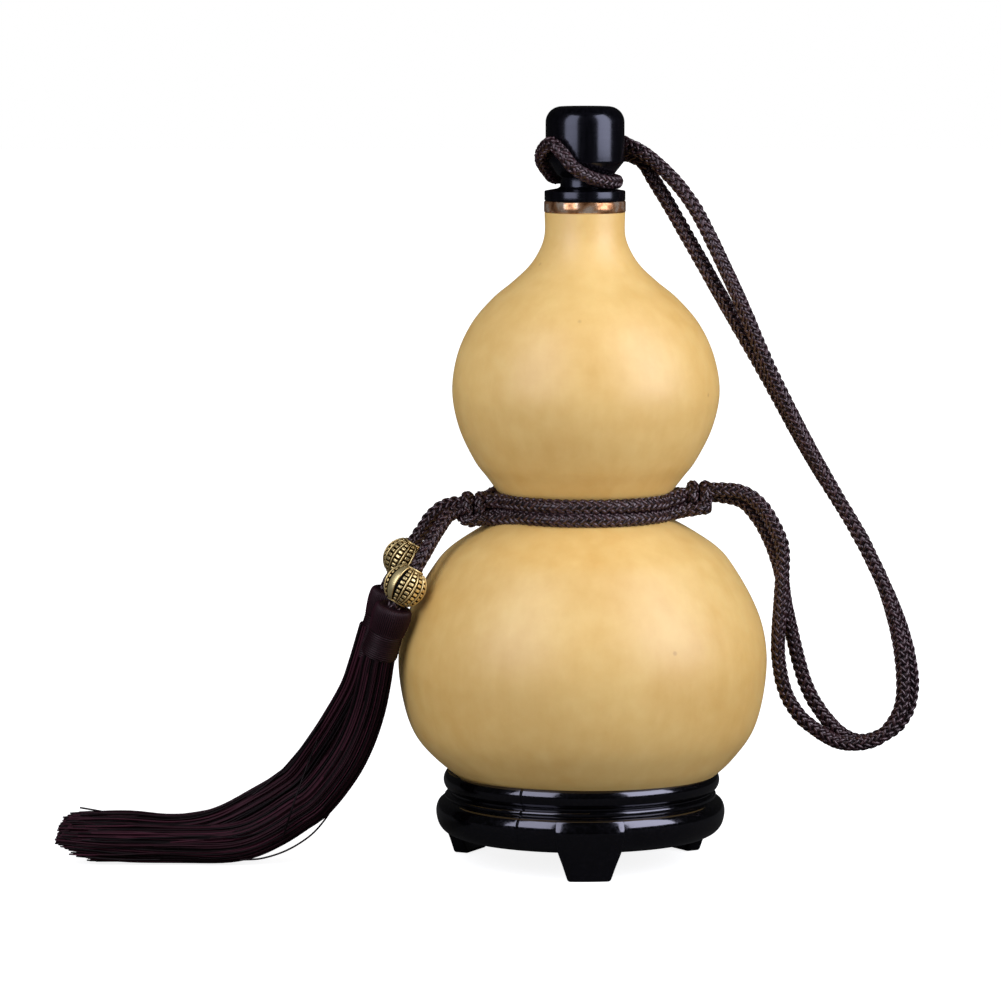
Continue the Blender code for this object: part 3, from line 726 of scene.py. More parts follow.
def head_mesh(name, top, direction, neck_length):
    """A tassel's head, with its folded threads and its binding raised on it, hanging from a place."""
    down = direction.normalized()
    turned = down.to_track_quat("Z", "Y").to_matrix()
    neck_start = NECK_OUTLINE[0][0]
    stretch = neck_length / (NECK_OUTLINE[-1][0] - neck_start)
    stretched = [(neck_start + (d - neck_start) * stretch, r) for d, r in NECK_OUTLINE]
    rows = [(d, r, "cap") for d, r in rounded(HEAD_OUTLINE, 4)]
    rows += [(d, r, "neck") for d, r in rounded(stretched, round(14 * stretch))]
    rows = [(rows[0][0] + 0.1, 0.0, "cap"), *rows, (rows[-1][0], 0.0, "neck")]
    points = []
    fibre = []
    tone_and_shade = []
    for depth, radius, zone in rows:
        for step in range(HEAD_SIDES):
            turn = math.tau * step / HEAD_SIDES
            if zone == "cap":
                fold = abs(math.cos(turn * HEAD_THREADS / 2))
                reach = radius - HEAD_FOLD * fold * min(radius, 1.0)
                mark = (depth * 0.1, turn * HEAD_THREADS / 6, 0.3)
            else:
                wrap = depth / NECK_WRAP + step / HEAD_SIDES
                fold = abs(math.cos(wrap * math.pi))
                reach = radius - NECK_PROUD * fold * min(radius, 1.0)
                mark = (turn * 2.0, wrap, 0.7)
            place = Vector((reach * math.cos(turn), reach * math.sin(turn), depth))
            points.append(top + turned @ place * MM)
            # Painted shade: the thread is darker in the hollows of the cap's folds and between the
            # wraps of the binding.
            tone_and_shade.append(HEAD_TONE - HEAD_FOLD_SHADE * fold)
            fibre += mark
    faces = []
    for row in range(len(rows) - 1):
        for step in range(HEAD_SIDES):
            after = (step + 1) % HEAD_SIDES
            first = row * HEAD_SIDES
            second = first + HEAD_SIDES
            faces.append((first + step, second + step, second + after, first + after))
    mesh = bpy.data.meshes.new(name)
    mesh.from_pydata(points, [], faces)
    kept(mesh, "fibre", fibre, "FLOAT_VECTOR")
    kept(mesh, "tone_and_shade", tone_and_shade)
    mesh.materials.append(burgundy_silk)
    mesh.shade_smooth()
    return mesh


for head_side, head_place, head_direction, head_neck in (
    ("front", (-36.45, -12.7, 51.0), (-0.30, 0.2, -0.935), 5.0),
    ("back", (-37.45, -3.65, 53.0), (-0.29, 0.14, -0.95), 8.5),
):
    head_name = "tassel_cap_" + head_side
    head_data = head_mesh(head_name, Vector(head_place) * MM, Vector(head_direction), head_neck)
    add_piece(head_name, head_data, "burgundy_thread", "tassel_head_" + head_side)

# Two short drops of the cord leave the left knot and go through the beads into
# the tassels' heads, where they are held.
DROP_WIDTH = 2.9 * MM
for drop_side, drop_route in (
    (
        "front",
        [
            (-23.6, -3.8, 68.7), (-25.0, -4.6, 68.3), (-26.4, -5.8, 67.6), (-27.6, -7.4, 66.1),
            (-28.9, -9.0, 64.2), (-30.3, -10.4, 61.8), (-31.6, -11.4, 59.6), (-32.9, -12.0, 57.4),
            (-34.4, -12.4, 55.0), (-35.6, -12.65, 53.0), (-36.5, -12.7, 50.9), (-37.0, -12.1, 48.0),
            (-37.5, -11.5, 45.2),
        ],
    ),
    (
        "back",
        [
            (-20.9, -2.4, 69.3), (-23.0, -1.9, 69.7), (-25.0, -1.7, 69.7), (-26.4, -1.8, 69.4),
            (-27.9, -2.2, 68.7), (-29.6, -2.8, 67.2), (-30.9, -3.4, 65.3), (-32.3, -3.8, 63.2),
            (-33.4, -4.0, 61.3), (-34.7, -4.0, 59.2), (-36.2, -3.9, 56.9), (-37.5, -3.8, 54.8),
            (-38.6, -3.35, 51.9), (-39.7, -2.9, 48.9),
        ],
    ),
):
    drop_path = route_path(drop_route)
    print("drop", drop_side, "is", round(length_of(drop_path), 4), "m long")
    drop = braided("drop_braid_" + drop_side, [drop_path], DROP_WIDTH, seed=5)
    dress(drop, "brown_cord", "cord_drop_" + drop_side)

# The skirt of each tassel is several hundred loose silk threads. They hang from
# the bound neck, sweep out to the left and lie down on the table.
THREADS = 415
THREAD_WIDTH = 0.36 * MM
THREAD_SWAY = 0.42
THREAD_STRAY = 1.3
THREAD_CUT = 0.07
THREAD_POINT = 0.042
WISPS_ACROSS = 1.8
WISPS_ALONG = 2.2
WANDER_APART = 1.37
WANDER_ALONG = 3.0
STRAY_RARITY = 14.0
SWAY_GROWTH = 1.3
LYING_HEIGHT = 0.6
LYING_PILE = 2.0
LOOSE_WIDTH = 0.42 * MM


def thread_tree():
    """Spreads threads over a skirt's sections, lets them wander and cuts them unevenly."""
    sizes = [(label, "Float") for label in ("Width", "Sway", "Stray", "Cut", "Point")]
    inputs = [("Threads", "Int"), *sizes, ("Seed", "Int"), ("Silk", "Material")]
    tree, given = node_tree_with("tassel_threads", inputs)
    line = add(tree, "GeometryNodeMeshToCurve", {0: given["Geometry"]})
    copies = {"Geometry": line, "Amount": given["Threads"]}
    many = add(tree, "GeometryNodeDuplicateElements", copies, domain="SPLINE")
    thread = many.outputs["Duplicate Index"]

    def drawn(most, offset):
        """A number from 0 to the most for each thread, and other ones for each offset."""
        return chance(tree, 0.0, most, plus(tree, given["Seed"], float(offset)), thread)

    along = add(tree, "GeometryNodeSplineParameter").outputs["Factor"]
    half_width = add(tree, "GeometryNodeInputNamedAttribute", {0: "half_width"}, data_type="FLOAT")
    half_depth = add(tree, "GeometryNodeInputNamedAttribute", {0: "half_depth"}, data_type="FLOAT")
    tangent = add(tree, "GeometryNodeInputTangent")
    back = (0.0, 1.0, 0.0)
    lean = scaled(tree, tangent, vectors(tree, "DOT_PRODUCT", tangent, back))
    across = vectors(tree, "NORMALIZE", vectors(tree, "SUBTRACT", back, lean))
    through = vectors(tree, "CROSS_PRODUCT", tangent, across)
    radius = sums(tree, "SQRT", drawn(1.0, 0))
    turn = drawn(math.tau, 1)
    place_across = times(tree, radius, sums(tree, "COSINE", turn))
    place_through = times(tree, radius, sums(tree, "SINE", turn))
    wisp_across = times(tree, place_across, WISPS_ACROSS)
    wisp_through = times(tree, place_through, WISPS_ACROSS)
    in_wisp = point_of(tree, wisp_across, wisp_through, times(tree, along, WISPS_ALONG))
    wisp = mottled(tree, in_wisp, 1.0, 1.0)
    in_thread = point_of(tree, times(tree, thread, WANDER_APART), times(tree, along, WANDER_ALONG))
    own = mottled(tree, in_thread, 1.0, 1.0)
    stray = times(tree, given["Stray"], sums(tree, "POWER", drawn(1.0, 2), STRAY_RARITY))
    sway = times(tree, plus(tree, given["Sway"], stray), sums(tree, "POWER", along, SWAY_GROWTH))
    wander = vectors(tree, "ADD", wisp.outputs["Color"], own.outputs["Color"])
    centred = vectors(tree, "SUBTRACT", wander, (1.0, 1.0, 1.0))
    drift = add(tree, "ShaderNodeSeparateXYZ", {0: scaled(tree, centred, sway)})
    far_across = times(tree, half_width, plus(tree, place_across, drift.outputs["X"]))
    far_through = times(tree, half_depth, plus(tree, place_through, drift.outputs["Y"]))
    move = vectors(tree, "ADD", scaled(tree, across, far_across), scaled(tree, through, far_through))
    spread = add(tree, "GeometryNodeSetPosition", {"Geometry": many, "Offset": move})
    at = add(tree, "ShaderNodeSeparateXYZ", {0: add(tree, "GeometryNodeInputPosition")})
    table_height = times(tree, given["Width"], plus(tree, LYING_HEIGHT, drawn(LYING_PILE, 3)))
    lifted = sums(tree, "MAXIMUM", at.outputs["Z"], table_height)
    above = point_of(tree, at.outputs["X"], at.outputs["Y"], lifted)
    lying = add(tree, "GeometryNodeSetPosition", {"Geometry": spread, "Position": above})
    short = times(tree, sums(tree, "POWER", drawn(1.0, 4), 2.0), given["Cut"])
    upper = sums(tree, "MAXIMUM", place_through, 0.0)
    outer = plus(tree, times(tree, place_through, place_through), upper)
    end = less(tree, 1.0, plus(tree, short, times(tree, outer, given["Point"])))
    cut = add(tree, "GeometryNodeTrimCurve", {"Curve": lying, 3: end}, mode="FACTOR")
    run = point_of(tree, times(tree, along, 6.0), times(tree, thread, 0.61))
    marked = stored(tree, cut, "fibre", run, "POINT", "FLOAT_VECTOR")
    toned = stored(tree, marked, "tone_and_shade", drawn(1.0, 5), "POINT")
    return ended(tree, tube(tree, toned, 3, times(tree, given["Width"], 0.5)), given["Silk"])


tassel_threads = thread_tree()
for skirt_side, skirt_seed, skirt_rows in (
    (
        "front",
        11,
        [
            (-39.0, -10.9, 42.9, 3.0, 3.0), (-39.8, -10.4, 39.5, 3.1, 3.15),
            (-40.4, -9.8, 36.2, 3.2, 3.25), (-41.7, -9.0, 30.6, 3.35, 3.4),
            (-43.9, -8.3, 24.5, 3.5, 3.55), (-46.9, -7.8, 19.0, 3.7, 3.7),
            (-51.5, -7.2, 13.1, 3.8, 3.75), (-55.6, -6.8, 10.1, 3.9, 3.8), (-60.1, -6.3, 7.1, 4.0, 3.8),
            (-64.8, -5.9, 4.9, 4.1, 3.75), (-70.0, -5.5, 3.9, 4.2, 3.7), (-78.2, -5.1, 3.8, 4.2, 3.6),
            (-87.8, -4.8, 4.0, 4.1, 3.7), (-95.6, -4.6, 4.3, 3.9, 3.5), (-102.3, -4.5, 4.7, 3.4, 3.0),
        ],
    ),
    (
        "back",
        29,
        [
            (-40.3, -2.7, 46.0, 3.0, 3.05), (-40.9, -2.4, 43.6, 3.1, 3.15),
            (-42.3, -1.6, 38.5, 3.25, 3.25), (-44.1, -0.6, 33.1, 3.35, 3.35),
            (-47.8, 0.7, 26.2, 3.5, 3.5), (-51.4, 1.7, 20.5, 3.6, 3.6), (-54.8, 2.5, 15.7, 3.8, 3.7),
            (-58.0, 3.0, 13.0, 3.9, 3.7), (-62.5, 3.5, 10.1, 4.0, 3.75), (-69.0, 4.1, 6.6, 4.1, 3.7),
            (-74.8, 4.4, 4.8, 4.2, 3.7), (-81.3, 4.6, 4.1, 4.2, 3.9), (-88.7, 4.7, 4.5, 4.1, 4.1),
            (-96.5, 4.6, 4.8, 3.9, 3.9), (-102.6, 4.6, 5.0, 3.4, 3.2),
        ],
    ),
):
    skirt_name = "tassel_threads_" + skirt_side
    skirt_line = line_mesh(skirt_name, [route_path([row[:3] for row in skirt_rows], 4)])
    skirt_sizes = route_path([(row[3], row[4], 0.0) for row in skirt_rows], 4)
    kept(skirt_line, "half_width", [size.x for size in skirt_sizes])
    kept(skirt_line, "half_depth", [size.y for size in skirt_sizes])
    skirt_looks = {"Sway": THREAD_SWAY, "Stray": THREAD_STRAY, "Cut": THREAD_CUT, "Point": THREAD_POINT}
    skirt_threads = {"Threads": THREADS, "Width": THREAD_WIDTH, "Silk": burgundy_silk}
    skirt_values = {**skirt_threads, **skirt_looks, "Seed": skirt_seed}
    skirt = grown(skirt_name, skirt_line, tassel_threads, skirt_values)
    dress(skirt, "burgundy_thread", "tassel_skirt_" + skirt_side)

# A few threads have come away from the skirts: one above them, one that crosses
# them, one below, and two short ones at the tips.
LOOSE_THREADS = [
    [
        (-50.6, -1.5, 27.7), (-53.3, -2.0, 24.1), (-56.2, -2.4, 20.5), (-59.9, -2.8, 16.5),
        (-64.3, -2.6, 13.0),
    ],
    [(-51.5, -5.0, 24.3), (-54.0, -9.8, 18.2), (-56.4, -12.0, 11.3), (-58.0, -10.2, 5.9)],
    [
        (-47.7, -8.4, 12.8), (-50.3, -8.8, 8.9), (-53.1, -9.2, 6.0), (-57.4, -9.6, 3.4),
        (-62.1, -9.8, 1.9), (-66.3, -9.8, 1.6),
    ],
    [(-86.6, 5.0, 7.4), (-91.2, 5.0, 8.1), (-95.2, 5.2, 8.8), (-98.3, 5.4, 9.3)],
    [(-81.8, -8.6, 1.4), (-87.6, -8.8, 1.4), (-92.4, -8.8, 1.6), (-96.1, -8.6, 1.9)],
]
loose_looks = dict.fromkeys(("Sway", "Stray", "Cut", "Point"), 0.0)
loose_values = {"Threads": 1, "Width": LOOSE_WIDTH, "Seed": 3, "Silk": burgundy_silk, **loose_looks}
loose_line = line_mesh("loose_threads", [route_path(points) for points in LOOSE_THREADS])
loose = grown("loose_threads", loose_line, tassel_threads, loose_values)
dress(loose, "burgundy_thread")

# The gourd is one dried, scraped and lightly polished bottle gourd: a small bulb
# over a large one, with a snug waist and a short neck that was cut off level. It
# is not quite round, and its skin is pale yellow, ochre at its edges.
GOURD_SIDES = 168
GOURD_UPPER_BULB = [
    (7.75, 125.7), (7.75, 121.5), (8.7, 118.5), (10.7, 115.4), (14.0, 112.3), (17.8, 109.2),
    (21.8, 104.5), (24.7, 98.3), (25.8, 91.3), (24.4, 84.3), (21.4, 78.1), (18.9, 74.8), (16.9, 72.15),
]
GOURD_WAIST = [(15.6, 71.2), (15.1, 70.2), (15.0, 69.0), (15.1, 67.9), (15.8, 67.0)]
GOURD_LOWER_BULB = [
    (17.3, 66.3), (21.0, 64.2), (25.6, 61.1), (28.5, 58.0), (32.3, 51.8), (34.8, 45.6), (35.7, 39.0),
    (34.8, 31.6), (32.8, 25.4), (29.4, 20.6), (26.3, 17.6), (22.5, 15.0), (17.0, 12.9), (9.5, 11.6),
    (3.5, 11.35), (1.2, 11.6), (0.0, 12.0),
]
GOURD_BORE = 4.9 * MM
GOURD_BORE_DEPTH = 14.0 * MM
GOURD_UNEVEN = 0.22 * MM
GOURD_SWELL = 38.0
GOURD_RIPPLE = 95.0
GOURD_RIPPLE_SHARE = 0.35
GOURD_LEAN = ((0.28, 91.0, 14.0), (-0.35, 39.0, 17.0))
GOURD_BULGE = (0.9, 17.5, 3.5)
GOURD_SHARP = 50
SPECK_CORE = 0.03
SPECK_EDGE = 0.07
SPECK_RARITY = 0.82
SPECK_STRENGTH = 0.35


def lathed(name, finish, sharp, outline, angles, bend=lambda place: place):
    """A turned mesh from an outline of radius and height, with a finish, and with hard edges
    where it turns by more than so many degrees. Its outside is from the top down."""
    points = []
    rows = []
    for radius, height in outline:
        if radius < 0.01 * MM:
            rows.append([len(points)] * len(angles))
            points.append(bend(Vector((0.0, 0.0, height))))
        else:
            rows.append(list(range(len(points), len(points) + len(angles))))
            for turn in angles:
                points.append(bend(Vector((radius * math.cos(turn), radius * math.sin(turn), height))))
    if outline[0] == outline[-1]:
        del points[rows[-1][0] :]
        rows[-1] = rows[0]
    faces = []
    for upper, lower in zip(rows, rows[1:]):
        for i in range(len(angles)):
            j = (i + 1) % len(angles)
            face = list(dict.fromkeys([upper[i], lower[i], lower[j], upper[j]]))
            if len(face) > 2:
                faces.append(face)
    mesh = bpy.data.meshes.new(name)
    mesh.from_pydata(points, [], faces)
    mesh.shade_smooth()
    mesh.set_sharp_from_angle(angle=math.radians(sharp))
    mesh.materials.append(finish)
    return mesh


def even_angles(count):
    """This many angles round a full turn."""
    return [math.tau * i / count for i in range(count)]


def gourd_skin_finish():
    """Dry matt skin, clouded pale yellow to ochre, with faint streaks and small brown specks."""
    material, tree, shader = finish_of(
        "dried_gourd_skin",
        Specular_IOR_Level=0.8,
        Subsurface_Weight=0.08,
        Subsurface_Scale=0.004,
        Subsurface_Radius=(1.0, 0.55, 0.25),
    )
    spot = own_place(tree)
    clouds = mottled(tree, spot, 42.0, 3.0, Distortion=0.4)
    mottle = mottled(tree, spot, 260.0, 5.0, Roughness=0.6)
    drawn = vectors(tree, "MULTIPLY", spot, (1.0, 1.0, 0.14))
    streaks = mottled(tree, drawn, 330.0, 3.0)
    coarse = plus(tree, times(tree, clouds, 0.28), 0.22)
    blend = plus(tree, coarse, plus(tree, times(tree, mottle, 0.18), times(tree, streaks, 0.12)))
    skin = shades(
        tree,
        blend,
        (0.30, tint(206, 156, 82)),
        (0.44, tint(222, 178, 102)),
        (0.58, tint(233, 195, 121)),
        (0.75, tint(240, 207, 139)),
    )
    grains = add(tree, "ShaderNodeTexVoronoi", {"Vector": spot, "Scale": 120.0})
    speck = fitted(tree, grains.outputs["Distance"], 1.0, 0.0, SPECK_CORE, SPECK_EDGE)
    lot = add(tree, "ShaderNodeSeparateXYZ", {0: grains.outputs["Color"]}).outputs["X"]
    rare = sums(tree, "GREATER_THAN", lot, SPECK_RARITY)
    faint = times(tree, times(tree, speck, rare), SPECK_STRENGTH)
    mix = {0: faint, 6: skin.outputs[0], 7: tint(150, 96, 50)}
    specked = add(tree, "ShaderNodeMix", mix, data_type="RGBA")
    rough = fitted(tree, mottle, 0.38, 0.54)
    fine = mottled(tree, spot, 1400.0, 3.0)
    grain = plus(tree, times(tree, streaks, 0.6), times(tree, fine, 0.4))
    bump = raised(tree, 0.12, 0.12 * MM, grain)
    tree.links.new(specked.outputs[2], shader.inputs["Base Color"])
    wire(tree, shader, Roughness=rough, Normal=bump)
    return material


def grown_uneven(place):
    """Moves a point of the gourd a little, as a grown thing is never quite round."""
    radius = Vector((place.x, place.y, 0.0)).length
    if radius < 8.0 * MM and place.z > 100 * MM:
        return place
    swell = noise.noise(place * GOURD_SWELL) + GOURD_RIPPLE_SHARE * noise.noise(place * GOURD_RIPPLE)
    share = min(radius / (20.0 * MM), 1.0) * GOURD_UNEVEN * swell
    outward = Vector((place.x, place.y, 0.0)).normalized()
    leftward = max(-place.x / max(radius, MM), 0.0)

    def hump(far, middle, span):
        """How far a soft hump round one height reaches at this point."""
        return far * math.exp(-(((place.z / MM - middle) / span) ** 2))

    lean = sum(hump(*part) for part in GOURD_LEAN) + hump(*GOURD_BULGE) * leftward
    return place + outward * share + Vector((lean * MM, 0.0, 0.0))


gourd_side = rounded(GOURD_UPPER_BULB, 7) + GOURD_WAIST + rounded(GOURD_LOWER_BULB, 7)
gourd_mouth = GOURD_UPPER_BULB[0][1] * MM
gourd_outline = [
    (0.0, gourd_mouth - GOURD_BORE_DEPTH),
    (GOURD_BORE, gourd_mouth - GOURD_BORE_DEPTH),
    (GOURD_BORE, gourd_mouth),
    *((max(r, 0.0) * MM, z * MM) for r, z in gourd_side),
]
gourd_skin = gourd_skin_finish()
gourd_angles = even_angles(GOURD_SIDES)
gourd_data = lathed("dried_gourd", gourd_skin, GOURD_SHARP, gourd_outline, gourd_angles, grown_uneven)
add_piece("dried_gourd", gourd_data, "gourd_skin", "gourd")

# A thin rose-gold ring is pressed on the cut mouth of the neck. It is polished
# and a little dented.
RING_RADIUS = 7.85 * MM
RING_BOTTOM = 125.75 * MM
RING_TOP = 127.9 * MM
RING_EDGE = 0.22 * MM
RING_SIDES = 128
RING_SHARP = 50


def rose_gold_finish():
    """Polished rose-gold plate with brown tarnish, and a fine bump from the same mottling."""
    material, tree, shader = finish_of("rose_gold_ring", Metallic=0.8)
    spot = own_place(tree)
    tarnish = mottled(tree, spot, 520.0, 4.0)
    rosy = (0.48, tint(208, 154, 112))
    colour = shades(tree, tarnish, (0.30, tint(122, 78, 48)), rosy, (0.64, tint(250, 226, 202)))
    rough = fitted(tree, tarnish, 0.26, 0.12)
    bump = raised(tree, 0.14, 0.06 * MM, tarnish)
    wire(tree, shader, Base_Color=colour, Roughness=rough, Normal=bump)
    return material


ring_outline = [
    (GOURD_BORE, RING_TOP),
    (RING_RADIUS - RING_EDGE, RING_TOP),
    (RING_RADIUS - RING_EDGE * 0.3, RING_TOP - RING_EDGE * 0.3),
    (RING_RADIUS, RING_TOP - RING_EDGE),
    (RING_RADIUS, RING_BOTTOM + RING_EDGE),
    (RING_RADIUS - RING_EDGE * 0.3, RING_BOTTOM + RING_EDGE * 0.3),
    (RING_RADIUS - RING_EDGE, RING_BOTTOM),
    (GOURD_BORE, RING_BOTTOM),
    (GOURD_BORE, RING_TOP),
]
ring_angles = even_angles(RING_SIDES)
ring_data = lathed("mouth_band", rose_gold_finish(), RING_SHARP, ring_outline, ring_angles)
add_piece("mouth_band", ring_data, "rose_gold", "mouth_ring")

# The stopper is turned from black wood and waxed: a knob with a rounded top, a
# cone, a neck for the cord, a flange over the ring and a plug down the mouth.
STOPPER_TOP = 146.0 * MM
KNOB_RADIUS = 7.57 * MM
KNOB_CORNER = 3.05 * MM
KNOB_BOTTOM = 135.5 * MM
CONE_FOOT = (5.5 * MM, 132.9 * MM)
NECK_RADIUS = 4.75 * MM
FLANGE_TOP = (5.3 * MM, 130.3 * MM)
FLANGE_RADIUS = 7.78 * MM
FLANGE_SHOULDER = 129.85 * MM
FLANGE_BOTTOM = 127.95 * MM
PLUG_RADIUS = 4.5 * MM
PLUG_BOTTOM = 112.0 * MM
TURNED_EDGE = 0.18 * MM
STOPPER_SIDES = 144
STOPPER_SHARP = 40
WAX_SHEEN = (0.78, 0.80, 1.0, 1.0)


def arc(middle, radius, start, stop, steps):
    """Points on an arc, from one angle in degrees to another."""
    turns = [math.radians(start + (stop - start) * i / steps) for i in range(steps + 1)]
    return [(middle[0] + radius * math.cos(a), middle[1] + radius * math.sin(a)) for a in turns]


def eased(corners, radius):
    """The same outline with each inner corner replaced by three points on a small round."""
    done = [corners[0]]
    for before, corner, after in zip(corners, corners[1:], corners[2:]):
        corner = Vector(corner)
        back = Vector(before) - corner
        ahead = Vector(after) - corner
        cut = min(radius, back.length * 0.45, ahead.length * 0.45)
        start = corner + back.normalized() * cut
        stop = corner + ahead.normalized() * cut
        done += [tuple(start), tuple((start + stop) / 4 + corner / 2), tuple(stop)]
    return [*done, corners[-1]]


def black_wood_finish():
    """Dense black wood with a wax shine, and the fine lines that the lathe leaves round it."""
    wax = {"Specular_IOR_Level": 0.65, "Specular_Tint": WAX_SHEEN}
    material, tree, shader = finish_of("waxed_black_wood", **wax)
    spot = own_place(tree)
    flat = vectors(tree, "MULTIPLY", spot, (0.05, 0.05, 1.0))
    lines = mottled(tree, flat, 2600.0, 2.0)
    pores = mottled(tree, vectors(tree, "MULTIPLY", spot, (1.0, 1.0, 0.12)), 1500.0, 3.0)
    colour = shades(tree, pores, (0.35, tint(9, 9, 12)), (0.75, tint(19, 18, 22)))
    rough = fitted(tree, lines, 0.14, 0.26)
    bump = raised(tree, 0.12, 0.03 * MM, lines)
    wire(tree, shader, Base_Color=colour, Roughness=rough, Normal=bump)
    return material


knob_corner = (KNOB_RADIUS - KNOB_CORNER, STOPPER_TOP - KNOB_CORNER)
stopper_lower = [
    (KNOB_RADIUS, STOPPER_TOP - KNOB_CORNER - TURNED_EDGE),
    (KNOB_RADIUS, KNOB_BOTTOM),
    CONE_FOOT,
    (NECK_RADIUS, CONE_FOOT[1] - 2 * TURNED_EDGE),
    (NECK_RADIUS, FLANGE_TOP[1] + 2 * TURNED_EDGE),
    FLANGE_TOP,
    (FLANGE_RADIUS, FLANGE_SHOULDER),
    (FLANGE_RADIUS, FLANGE_BOTTOM),
    (PLUG_RADIUS, FLANGE_BOTTOM),
    (PLUG_RADIUS, PLUG_BOTTOM),
    (0.0, PLUG_BOTTOM),
]
stopper_outline = [
    (0.0, STOPPER_TOP),
    *arc(knob_corner, KNOB_CORNER, 90, 0, 14),
    *eased(stopper_lower, TURNED_EDGE),
]
stopper_angles = even_angles(STOPPER_SIDES)
black_wood = black_wood_finish()
stopper_data = lathed("turned_stopper", black_wood, STOPPER_SHARP, stopper_outline, stopper_angles)
add_piece("turned_stopper", stopper_data, "black_wood", "stopper")

# The stand is a turned ring of two rolls with a dished seat, lacquered black and
# glossy, with the faint line of a joint across its front. Three tapered feet are
# housed in it and lacquered with it.
STAND_X = -0.7 * MM
STAND_SIDES = 200
STAND_SHARP = 45
STAND_RADIUS = 28.0 * MM
SEAT = [(0.0, 10.9), (9.5, 11.15), (17.0, 12.4), (22.4, 14.45), (24.6, 15.95), (26.0, 17.25)]
UPPER_ROLL_MIDDLE = (24.4, 15.95)
UPPER_ROLL_RADIUS = 2.35
STAND_GROOVE = [
    (25.5, 13.62), (25.45, 13.42), (25.8, 13.4), (26.15, 13.3), (26.32, 13.0), (26.28, 12.72),
]
LOWER_ROLL = [(26.2, 12.55), (27.5, 11.65), (28.0, 9.9), (27.6, 7.7), (26.6, 6.3), (25.2, 5.5)]
UPPER_ROLL_SHIFT = 0.2 * MM
UPPER_ROLL_FOOT = 13.3 * MM
UPPER_ROLL_SOFT = 0.6 * MM
SEAM_DEGREES = -116.5
SEAM_WIDTH = 0.22 * MM
SEAM_DEPTH = 0.16 * MM
SEAM_INNER = 25.3 * MM
FOOT_LEVELS = [
    (0.0, 25.9, 8.1), (3.0, 26.6, 10.1), (6.1, 27.5, 12.3), (8.6, 28.15, 13.3), (9.9, 28.25, 13.5),
    (12.0, 27.5, 13.3),
]
FOOT_THICKNESS = 3.4
FOOT_EDGE = 0.45 * MM
FOOT_SHARP = 40
FOOT_CORNERS = 7
FRONT_FOOT_DEGREES = -87.0


def lacquer_finish():
    """Thick gloss lacquer over black wood: faint orange peel, dust grains and dull patches."""
    material, tree, shader = finish_of(
        "black_lacquer",
        Specular_IOR_Level=1.0,
        Specular_Tint=(0.84, 0.82, 1.0, 1.0),
        Coat_Weight=0.5,
        Coat_Roughness=0.05,
    )
    spot = own_place(tree)
    peel = mottled(tree, spot, 620.0, 3.0)
    dust = mottled(tree, spot, 1600.0, 4.0)
    colour = shades(tree, dust, (0.45, tint(5, 5, 7)), (0.85, tint(18, 17, 21)))
    rough = fitted(tree, dust, 0.08, 0.22, start=0.3, stop=0.8)
    bump = raised(tree, 0.22, 0.07 * MM, peel)
    wire(tree, shader, Base_Color=colour, Roughness=rough, Normal=bump)
    return material


lacquer = lacquer_finish()
seam_turn = math.radians(SEAM_DEGREES)
seam_half = SEAM_WIDTH / STAND_RADIUS
stand_angles = [a for a in even_angles(STAND_SIDES) if abs(a - math.tau - seam_turn) > 2.2 * seam_half]
stand_angles += [math.tau + seam_turn + seam_half * share for share in (-2.0, -1.0, 0.0, 1.0, 2.0)]
stand_angles.sort()


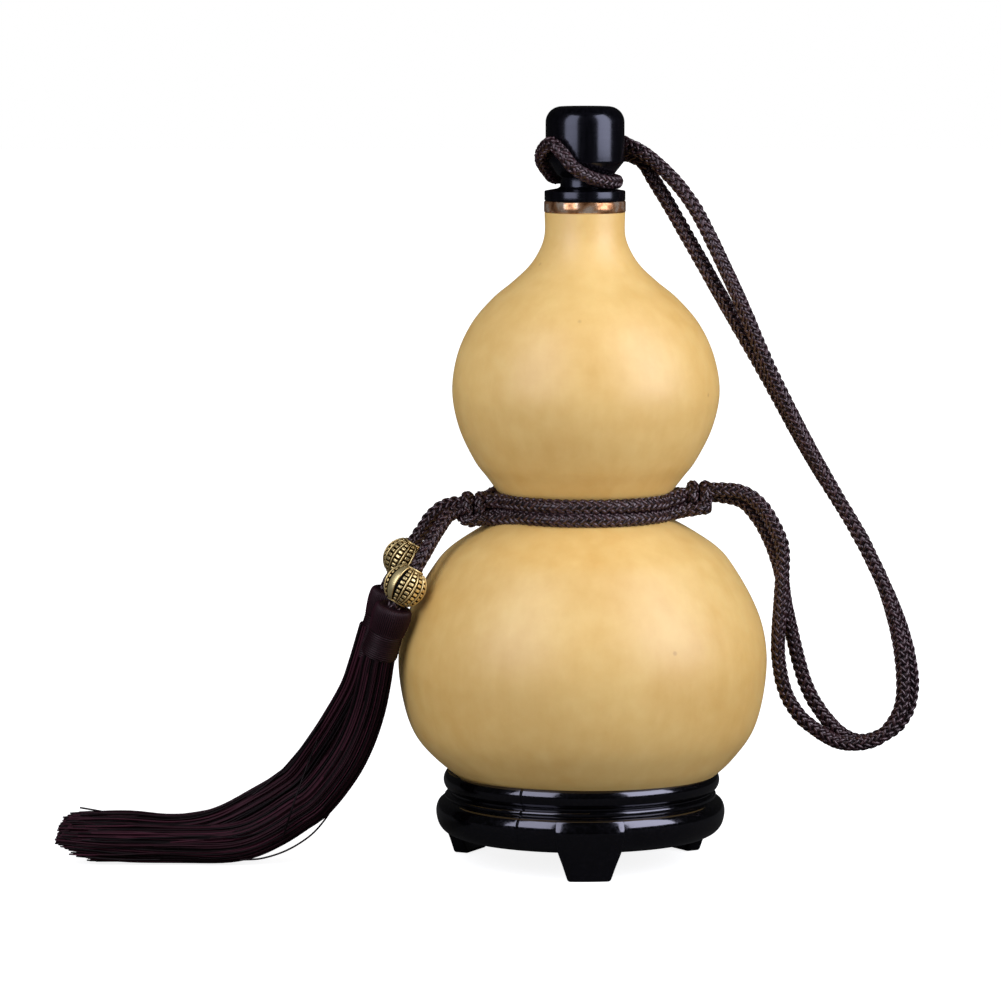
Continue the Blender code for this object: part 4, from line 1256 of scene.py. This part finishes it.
def stand_place(place):
    """Sets a point of the stand in its place, and sinks it a little along the joint's line."""
    turn = math.atan2(place.y, place.x)
    outside = Vector((place.x, place.y, 0.0))
    if abs(turn - seam_turn) < seam_half * 0.5 and outside.length > SEAM_INNER:
        place = place - outside.normalized() * SEAM_DEPTH
    upper = rise(place.z, UPPER_ROLL_FOOT, UPPER_ROLL_SOFT)
    return place + Vector((STAND_X + UPPER_ROLL_SHIFT * upper, 0.0, 0.0))


roll = arc(UPPER_ROLL_MIDDLE, UPPER_ROLL_RADIUS, 44, -62, 14)
stand_base = (0.0, LOWER_ROLL[-1][1])
stand_side = [*rounded(SEAT, 3), *roll, *STAND_GROOVE, *rounded(LOWER_ROLL, 5), stand_base]
stand_outline = [(r * MM, z * MM) for r, z in stand_side]
stand_data = lathed("stand_turning", lacquer, STAND_SHARP, stand_outline, stand_angles, stand_place)
add_piece("stand_turning", stand_data, "black_lacquer", "stand_ring")

foot_sections = smooth(FOOT_LEVELS, 4)
for foot_index, foot_side in enumerate(("front", "right", "left")):
    foot_turn = Matrix.Rotation(math.radians(FRONT_FOOT_DEGREES + 120 * foot_index), 3, "Z")
    foot_points = []
    foot_faces = []
    for height, reach, width in foot_sections:
        half = width / 2
        across = [half * share for share in (-1.0, -0.5, 0.0, 0.5, 1.0)]
        outer = [(math.sqrt(reach**2 - y**2), y) for y in across]
        inner = reach - FOOT_THICKNESS
        for x, y in ((inner, -half), *outer, (inner, half)):
            foot_points.append(foot_turn @ Vector((x, y, height)) * MM + Vector((STAND_X, 0.0, 0.0)))
    last = len(foot_points) - FOOT_CORNERS
    foot_faces += [tuple(reversed(range(FOOT_CORNERS))), tuple(range(last, len(foot_points)))]
    for low in range(0, last, FOOT_CORNERS):
        high = low + FOOT_CORNERS
        for i in range(FOOT_CORNERS):
            j = (i + 1) % FOOT_CORNERS
            foot_faces.append((low + i, low + j, high + j, high + i))
    foot_data = bpy.data.meshes.new("stand_leg_" + foot_side)
    foot_data.from_pydata(foot_points, [], foot_faces)
    foot_data.materials.append(lacquer)
    foot_data.shade_smooth()
    foot = add_piece("stand_leg_" + foot_side, foot_data, "black_lacquer", "stand_foot_" + foot_side)
    edges = foot.modifiers.new("edges", "BEVEL")
    edges.width = FOOT_EDGE
    edges.segments = 3
    edges.limit_method = "ANGLE"
    edges.angle_limit = math.radians(FOOT_SHARP)
